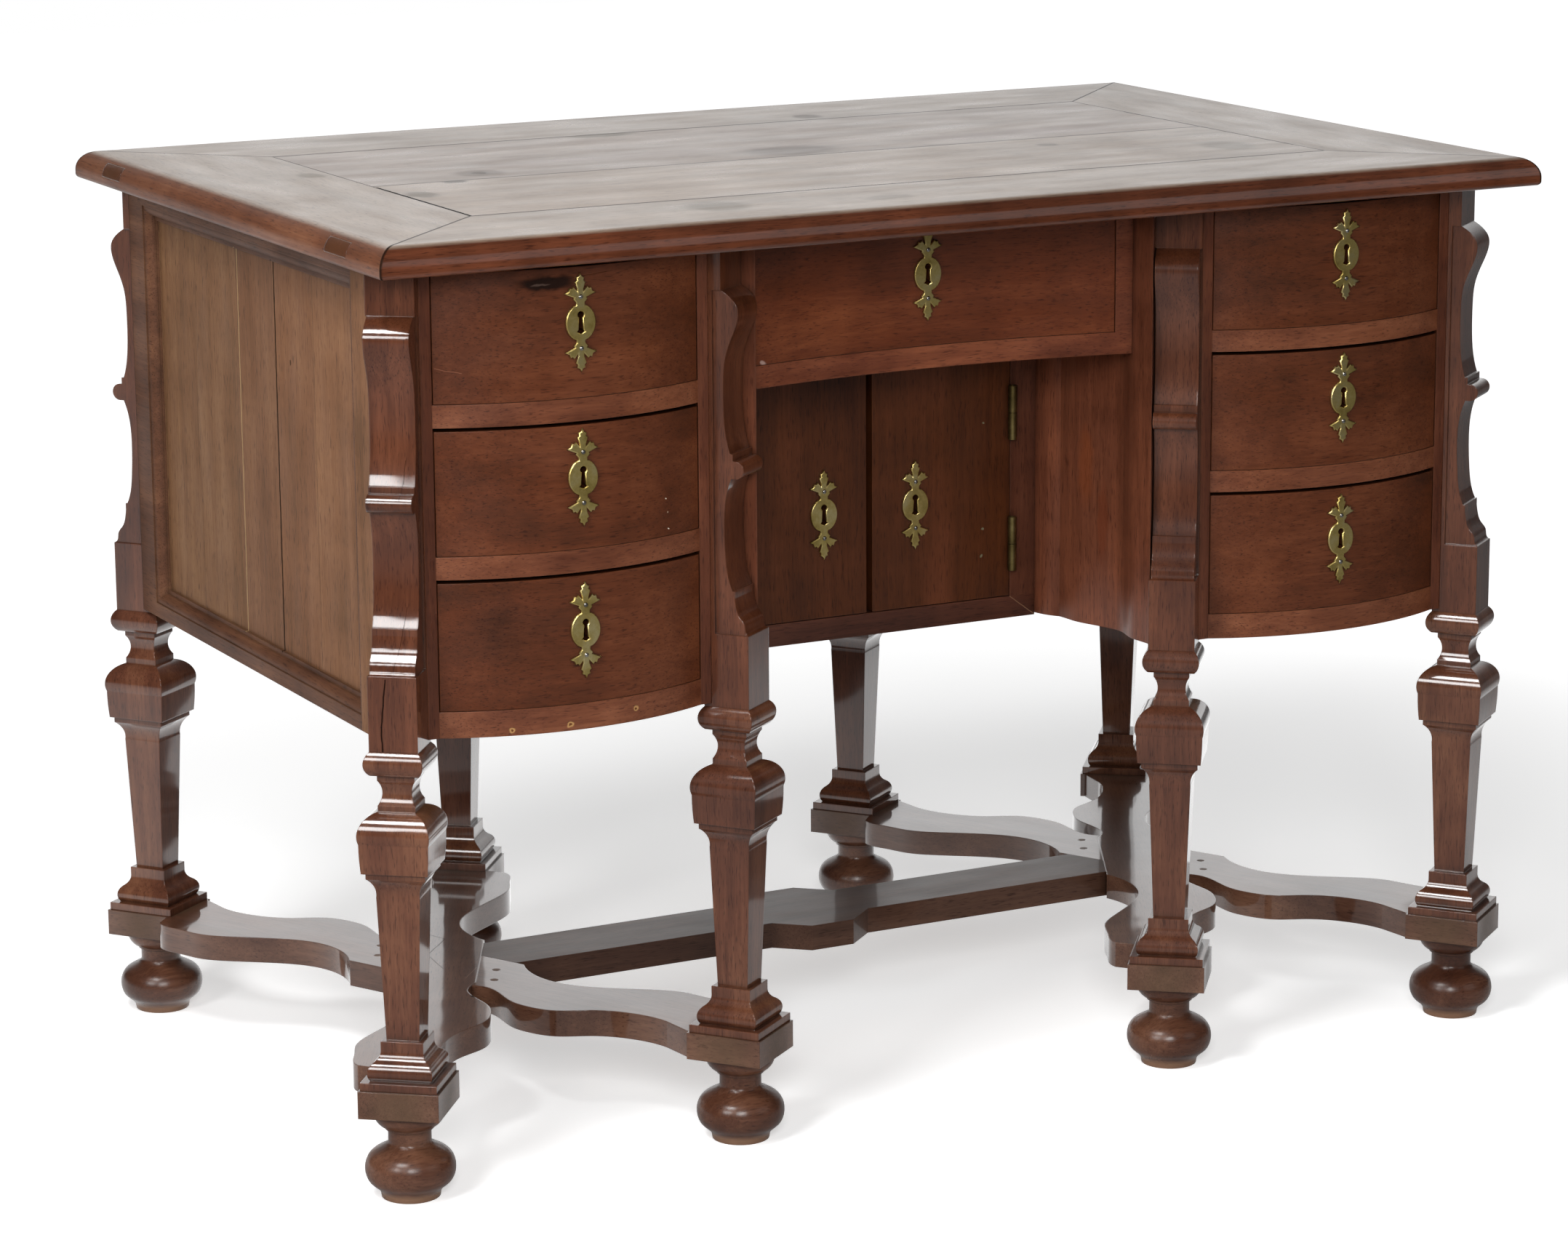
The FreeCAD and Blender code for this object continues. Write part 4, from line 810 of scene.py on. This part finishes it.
# Marks on the drawer fronts: a dark stain under the top, scratches and pale chips
drawer_marks = [
    (spot, ((-398, -320, 757.5), (27, 90, 7)), "#15110F", 0.9),
    (spot, ((-404, -320, 756.5), (8, 90, 1.0)), "#54443C", 0.6),
    (crack, ((-486, -320, 691.5), (-466, -320, 687.2), 0.8, (0, 1, 0)), "#8A5A44", 0.6),
    (crack, ((-380, -320, 760), (-345, -320, 763), 0.9, (0, 1, 0)), "#24140D", 0.6),
    (spot, ((-287.2, -320, 568.5), (0.9, 90, 0.9)), "#D9CBB8", 0.9),
    (spot, ((-287.6, -320, 542.3), (0.9, 90, 0.9)), "#D9CBB8", 0.9),
    (spot, ((-286.0, -320, 557.4), (0.7, 90, 0.7)), "#B9A48E", 0.9),
]
pedestal_drawer = wood(
    "hand_polished_mahogany_drawer", plain_tones, "Y", 0.75, figure_mm=42.0, marks=drawer_marks,
    shine=0.2, second={"where": [("Y", pedestal_front_back)], "tones": drawer_tones, "grain": "X",
                       "roughness": 0.33, "shine": 0.26, "coat": 0.0})
centre_drawer = wood(
    "hand_polished_mahogany_centre_drawer", plain_tones, "Y", 0.75, figure_mm=60.0,
    marks=[(spot, ((-166.5, -250, 662.5), (3.2, 90, 2.6)), "#A58A80", 0.8)],
    shine=0.2, second={"where": [("Y", centre_front_back)], "grain": "X",
                       "tones": ("#46200E", "#5C2B14", "#733C20"),
                       "roughness": 0.36, "shine": 0.3, "coat": 0.0})

# Rails of a lighter, redder mahogany than the drawers, with pale-rimmed nail holes; darker stiles
rail_marks = []
for x, z in ((-433.0, 391.5), (-383.4, 390.5), (-323.1, 397.0)):
    rail_marks.append((spot, ((x, -325, z), (2.7, 60, 2.7)), "#B08A58", 0.85))
    rail_marks.append((spot, ((x, -325, z), (1.5, 60, 1.5)), "#5A3320", 0.95))
front_frame = wood(
    "polished_mahogany_rails", ("#4C2514", "#683A24", "#804E34"), "X", 0.33, figure_mm=24.0,
    marks=rail_marks, worn=0.6, shine=0.35,
    second={"where": [("X", opening_half_width, pedestal_x)], "grain": "Z",
            "tones": ("#3C1D11", "#512A1A", "#683A26"),
            "roughness": 0.30, "shine": 0.35, "coat": 0.0})
centre_frame = wood(
    "polished_mahogany_centre_rail", plain_tones, "Y", 0.75, figure_mm=24.0, shine=0.2,
    second={"where": [("Y", centre_front_back)], "grain": "X",
            "tones": ("#4A2212", "#653420", "#80482E"),
            "roughness": 0.33, "shine": 0.35, "coat": 0.0})

# The front left post is split low down and has fine drying cracks above
post_facing = (-0.616, -0.788, 0.0)
post_marks = []
for start, end in (((-540.1, -308.7, 443.7), (-541.5, -307.6, 422.5)),
                   ((-541.5, -307.6, 422.5), (-543.3, -306.2, 404.3)),
                   ((-543.3, -306.2, 404.3), (-542.8, -306.6, 384.0))):
    post_marks.append((crack, (start, end, 1.8, post_facing), "#150C08", 0.95))
for start, end in (((-536.1, -330.2, 620.0), (-538.0, -328.7, 590.0)),
                   ((-537.2, -329.3, 500.0), (-539.5, -327.5, 478.1)),
                   ((-539.5, -327.5, 478.1), (-544.0, -324.0, 450.0))):
    post_marks.append((crack, (start, end, 0.8, post_facing), "#23130C", 0.75))

# Posts and legs carry a full French polish: clear, glossy and reflective over a dark red brown
post = wood("french_polished_mahogany_post", ("#35190E", "#4C2817", "#653A25"), "Z", 0.36,
            shine=0.1, coat=1.0, figure_mm=26.0, marks=post_marks)
leg = wood("french_polished_mahogany_leg", ("#3A1E13", "#543020", "#6C4530"), "Z", 0.36,
           shine=0.1, coat=1.0, figure_mm=26.0, worn=0.6)

# The turned feet stand where brooms and shoes rub them: the polish is worn and mottled
foot = wood("worn_turned_mahogany_foot", ("#341B11", "#4D2E20", "#704C39"), "X", 0.28, shine=0.45,
            figure_mm=60.0, wear="#A07A66", worn=0.5,
            marks=[(joint, ((0, 0, 1), 2.0, 14.0), "#9C7A62", 0.5)])

# Marks on the left plank: a long crack, a dark knot and a pale scratch
plank_marks = [
    (crack, ((-344.5, 93.4, 98), (-333.6, 63.7, 98), 1.0, (0, 0, 1)), "#1E120C", 0.8),
    (crack, ((-333.6, 63.7, 98), (-367.4, 25.4, 98), 1.0, (0, 0, 1)), "#1E120C", 0.8),
    (crack, ((-367.4, 25.4, 98), (-372.0, -20.0, 98), 0.9, (0, 0, 1)), "#1E120C", 0.7),
    (spot, ((-378.1, -108.0, 98), (6, 5, 30)), "#0E0906", 0.95),
    (crack, ((-366.0, -55.8, 98), (-344.2, -30.4, 98), 0.7, (0, 0, 1)), "#9C8474", 0.5),
]

# Stretchers: French polished mahogany, glossy, with dust gathered around the feet of the legs
stretcher_tones = ("#40261B", "#5A3C2D", "#72513F")
block_marks = [(spot, ((sign_x * x, sign_y * 296.0, 87.0), (46, 46, 60)), "#4E4032", 0.7)
               for x in (216.0, 523.0) for sign_x in (-1, 1) for sign_y in (-1, 1)]
plank = wood("polished_mahogany_long_stretcher", stretcher_tones, turn=stretcher_turn, shine=0.1,
             coat=1.0, figure_mm=34.0, marks=block_marks + plank_marks, wear="#7A5544")
arm = wood("polished_mahogany_stretcher_arm", stretcher_tones, turn=-stretcher_turn, shine=0.1,
           coat=1.0, figure_mm=34.0, marks=block_marks, wear="#7A5544")

# The cross stretcher is darker, and shoes have worn off most of its gloss
cross = wood("polished_mahogany_cross_stretcher", ("#352018", "#483024", "#5C4032"), "X", 0.42,
             shine=0.15, coat=0.2, figure_mm=34.0, wear="#7A5544")

# The arms' pegs are oak, cut off flush: dry end grain with a fine figure and little sheen
peg = wood("oak_peg_end_grain", ("#4A3528", "#6B5140", "#8A6D57"), "X", 0.5, figure_mm=3.0)

# The doors lie deep in shade: dark mahogany, hardly faded, with a soft sheen and three old nail heads
door_marks = [(spot, ((x, -132, z), (1.6, 40, 1.4)), "#6E6A55", 0.8)
              for x, z in ((116.6, 564.9), (114.2, 468.5), (114.3, 443.8))]
door = wood("polished_mahogany_door", ("#35190B", "#4A250F", "#5D3019"), "Z", 0.36, shine=0.25,
            figure_mm=46.0, marks=door_marks)

# The cupboard's frame is of the same dark mahogany; its lower mitres show as pale lines
mitre_marks = [
    (crack, ((sign * 170, -132, 384.2), (sign * 144, -132, 404.2), 0.9, (0, 1, 0)),
     "#8A6A50", 0.6) for sign in (-1, 1)]
cupboard_frame = wood(
    "polished_mahogany_cupboard_frame", ("#361B12", "#4A281B", "#5C3425"), "X", 0.34,
    figure_mm=30.0, shine=0.3, marks=mitre_marks,
    second={"where": [("Z", cupboard_rail_z)], "tones": ("#361B12", "#4C291B", "#603726"),
            "grain": "Z", "roughness": 0.34, "shine": 0.3, "coat": 0.0})

# The kneehole's curved walls are red mahogany with a soft sheen; a painted orange-red reflection lies in
# a patch on the right
kneehole_wall = wood(
    "polished_mahogany_kneehole_wall", ("#472416", "#633725", "#7E4830"), "Z", 0.34,
    shine=0.25, figure_mm=36.0,
    # Painted orange-red reflection: two soft patches on the right wall
    marks=[(spot, ((205, -193, 530), (60, 10, 40)), "#7A3C1C", 0.35),
           (spot, ((205, -212, 480), (60, 7, 40)), "#6B3019", 0.3)])

# The top: sun has faded it to a grey brown, wax keeps a sheen, and its moulded edge stays red and glossy
edge_tones = ("#34180C", "#4E2817", "#6B3A24")
faded_tones = ("#72604F", "#877464", "#9A8878")
faded_face = {"where": [("Z", top_face_z, 0.0, 2.0)], "tones": faded_tones, "roughness": 0.30,
              "shine": 0.42, "coat": 0.0}

# Seams and stains of the top: the seams are drawn wider than real ones, so that they show at a low angle
long_seams = [(joint, ((0, 1, 0), field_half_y, 5.2, True), "#2E2018", 0.95)]
end_seams = [(joint, ((1, 0, 0), field_half_x, 2.4, True), "#2C1E16", 0.9)]
mitres = [(joint, ((1, -1, 0), mitre_at, 4.4, True), "#241710", 0.95)]
tenon_ends = [(spot, ((sign * 548, y, 790), (24, 26, 40)), "#54361F", 0.5)
              for sign in (-1, 1) for y in (-263, 263)]
top_stains = [
    (spot, ((-94.6, 211.4, 800), (40, 14, 30)), "#4C4028", 0.7),
    (spot, ((136, 243, 800), (17, 17, 30)), "#46382A", 0.75),
    (spot, ((-301.5, 23.3, 800), (11, 11, 30)), "#2C1D12", 0.9),
    (spot, ((-301.5, 23.3, 800), (26, 24, 30)), "#4E3A28", 0.65),
    (spot, ((-342.7, -18.8, 800), (14, 8, 30)), "#33261B", 0.85),
    (spot, ((-400.0, -80.0, 800), (15, 24, 30)), "#4A3D28", 0.7),
    (spot, ((-216.0, -268.0, 800), (32, 36, 30)), "#4F432F", 0.6),
    (spot, ((5.0, 24.0, 800), (54, 36, 30)), "#4A3D34", 0.6),
    (spot, ((362.0, -145.0, 800), (28, 36, 30)), "#4E432F", 0.55),
    (spot, ((224.7, -58.0, 800), (12, 10, 30)), "#463A2C", 0.6),
    (spot, ((-66.7, -291.8, 800), (28, 14, 30)), "#54483A", 0.5),
    (spot, ((-435.0, 82.0, 800), (14, 18, 30)), "#504429", 0.6),
    (crack, ((-282.8, 150.7, 800), (-266.9, 141.4, 800), 3.6, (0, 0, 1)), "#33241A", 0.8),
    (crack, ((-242.6, 187.0, 800), (-226.6, 177.6, 800), 3.2, (0, 0, 1)), "#33241A", 0.75),
    (spot, ((-150.0, 60.0, 800), (150, 22, 30)), "#8C7D78", 0.4),
    (spot, ((250.0, 30.0, 800), (120, 30, 30)), "#77625E", 0.4),
]

# Thin dark lines go around the ends of the through tenons
tenon_marks = []
for sign in (-1, 1):
    for y in tenon_y:
        tenon_marks.append((
            crack, ((0, sign * y, 785), (0, sign * y, 795.5), 1.3, (1, 0, 0)), "#24150D", 0.8))
    for z in tenon_z:
        tenon_marks.append((
            crack, ((0, sign * tenon_y[0], z), (0, sign * tenon_y[1], z), 0.8, (1, 0, 0)),
            "#3A2418", 0.6))

# The top's three kinds of piece: rails along it, rails across its ends, and the boards of its field
top_across = wood(
    "waxed_faded_mahogany_top_across", edge_tones, "X", 0.34, shine=0.1, coat=1.0, figure_mm=40.0,
    wear="#A87A58", worn=0.35, marks=long_seams + mitres + top_stains + tenon_ends,
    second={**faded_face, "grain": "X"})
top_endwise = wood(
    "waxed_faded_mahogany_top_endwise", ("#442414", "#643B25", "#80553C"), "Y", 0.44,
    shine=0.26, figure_mm=40.0, wear="#A87A58", worn=0.35,
    marks=end_seams + mitres + top_stains + tenon_marks, second={**faded_face, "grain": "Y"})
top_field = wood(
    "waxed_faded_mahogany_top_field", edge_tones, "X", 0.30, shine=0.5, figure_mm=40.0,
    marks=[(joint, ((0, 1, 0), field_joint_y, 5.2), "#3A2C24", 0.9)]
    + long_seams + end_seams + top_stains
    + [(crack, ((-416.4, -217, 800), (-416.4, -20, 800), 5.6, (0, 0, 1)), "#140D09", 1.0),
       (crack, ((416.2, -170, 800), (416.2, 120, 800), 2.6, (0, 0, 1)), "#1C120C", 0.9)],
    boards=("Y", [(-500.0, "#FFF9F2"), (field_joint_y, "#F0E8E6")]),
    second={**faded_face, "grain": "X", "boarded": True})

# Seams of the side panels' five boards: one has opened and one has a pale filling
side_marks = [
    (crack, ((side_face_x, at, side_low_z), (side_face_x, at, side_high_z), width, (1, 0, 0)),
     tint, strength)
    for at, width, tint, strength in zip(
        side_joints, (0.9, 3.4, 2.2, 0.9), ("#5A402B", "#17100B", "#B59A70", "#5F452F"),
        (0.5, 0.95, 0.8, 0.4))]
side_marks.append((spot, ((-side_face_x, -79.7, 666.1), (30, 1.6, 2.6)), "#33241A", 0.8))

# Side panels: mahogany that light has bleached to a dry, almost matt brown, in a darker frame
side_panel = wood(
    "bleached_mahogany_side_panel", ("#5F432B", "#76553C", "#88674C"), "Z", 0.62, shine=0.18,
    figure_mm=30.0, wear="#8A6848", marks=side_marks,
    boards=("Y", [(-500.0, "#FFF4EA"), (side_joints[0], "#F4E6DA"), (side_joints[1], "#E8DCD2"),
                  (side_joints[2], "#F2ECE0"), (side_joints[3], "#EDE6D8")]),
    second={"where": [("X", side_frame_x), ("Y", side_stile_half, side_stile_y, 0.1, False)],
            "tones": ("#3B2418", "#553625", "#6C4933"), "grain": "Y",
            "roughness": 0.55, "shine": 0.15, "coat": 0.0, "boarded": False})

# Oak of the back, the runners and the bottoms: never polished, so dry, pale and matt
back_wood = wood("unpolished_oak_back", ("#5A3F28", "#775638", "#927050"), "X", 0.8,
                 shine=0.2, figure_mm=26.0)
inner_wood = wood("unpolished_oak_inside", plain_tones, "Y", 0.8, shine=0.2, figure_mm=22.0)

# Cast brass, polished long ago: a warm pale yellow with duller patches; the locks behind it are dark iron
brass_tones = ("#A48F50", "#D2BB74", "#EEDCA0")
pedestal_brass = metal("aged_cast_brass_pedestal", brass_tones, 0.34, pedestal_front_back)
centre_brass = metal("aged_cast_brass_centre", brass_tones, 0.34, centre_front_back)

# Rolled brass of the hinges, left to tarnish: brown and dull
hinge_tones = ("#4E4228", "#6E5F3A", "#8A7A50")
door_brass = metal("aged_rolled_brass_door_hinge", hinge_tones, 0.46, door_back)
hinge_brass = metal("aged_rolled_brass_hinge", hinge_tones, 0.46)

# The raised plates are the same cast brass, and their pins are steel: grey, smooth and bright
plate_brass = metal("filed_cast_brass_plate", brass_tones, 0.36)
pin_steel = metal("domed_steel_pin", ("#6A6763", "#8E8B86", "#B5B2AC"), 0.24)

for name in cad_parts:
    if name.endswith("_escutcheon"):
        if "door" in name:
            dress(door_brass, name)
        elif "centre" in name:
            dress(centre_brass, name)
        else:
            dress(pedestal_brass, name)
    elif name.endswith("_post"):
        dress(post, name)
    elif name.endswith("_leg"):
        dress(leg, name)
    elif name.endswith("_drawer"):
        dress(centre_drawer if "centre" in name else pedestal_drawer, name)
dress(hinge_brass, "fixed_hinge_halves")
dress(front_frame, "left_pedestal_front_frame", "right_pedestal_front_frame")
dress(centre_frame, "centre_drawer_frame")
dress(foot, "bun_feet")
dress(plank, "left_long_stretcher", "right_long_stretcher")
dress(arm, *[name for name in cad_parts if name.endswith("_stretcher_arm")])
dress(cross, "cross_stretcher")
dress(peg, "stretcher_pegs")
dress(door, "left_door", "right_door")
dress(cupboard_frame, "cupboard_frame")
dress(kneehole_wall, "left_kneehole_wall", "right_kneehole_wall")
dress(top_across, "top_front_rail", "top_back_rail")
dress(top_endwise, "top_left_rail", "top_right_rail")
dress(top_field, "top_field_boards")
dress(side_panel, "left_side_panel", "right_side_panel")
dress(back_wood, "back_panels")
dress(inner_wood, "drawer_runners", "bottom_boards")
fit_escutcheons(plate_brass, pin_steel)
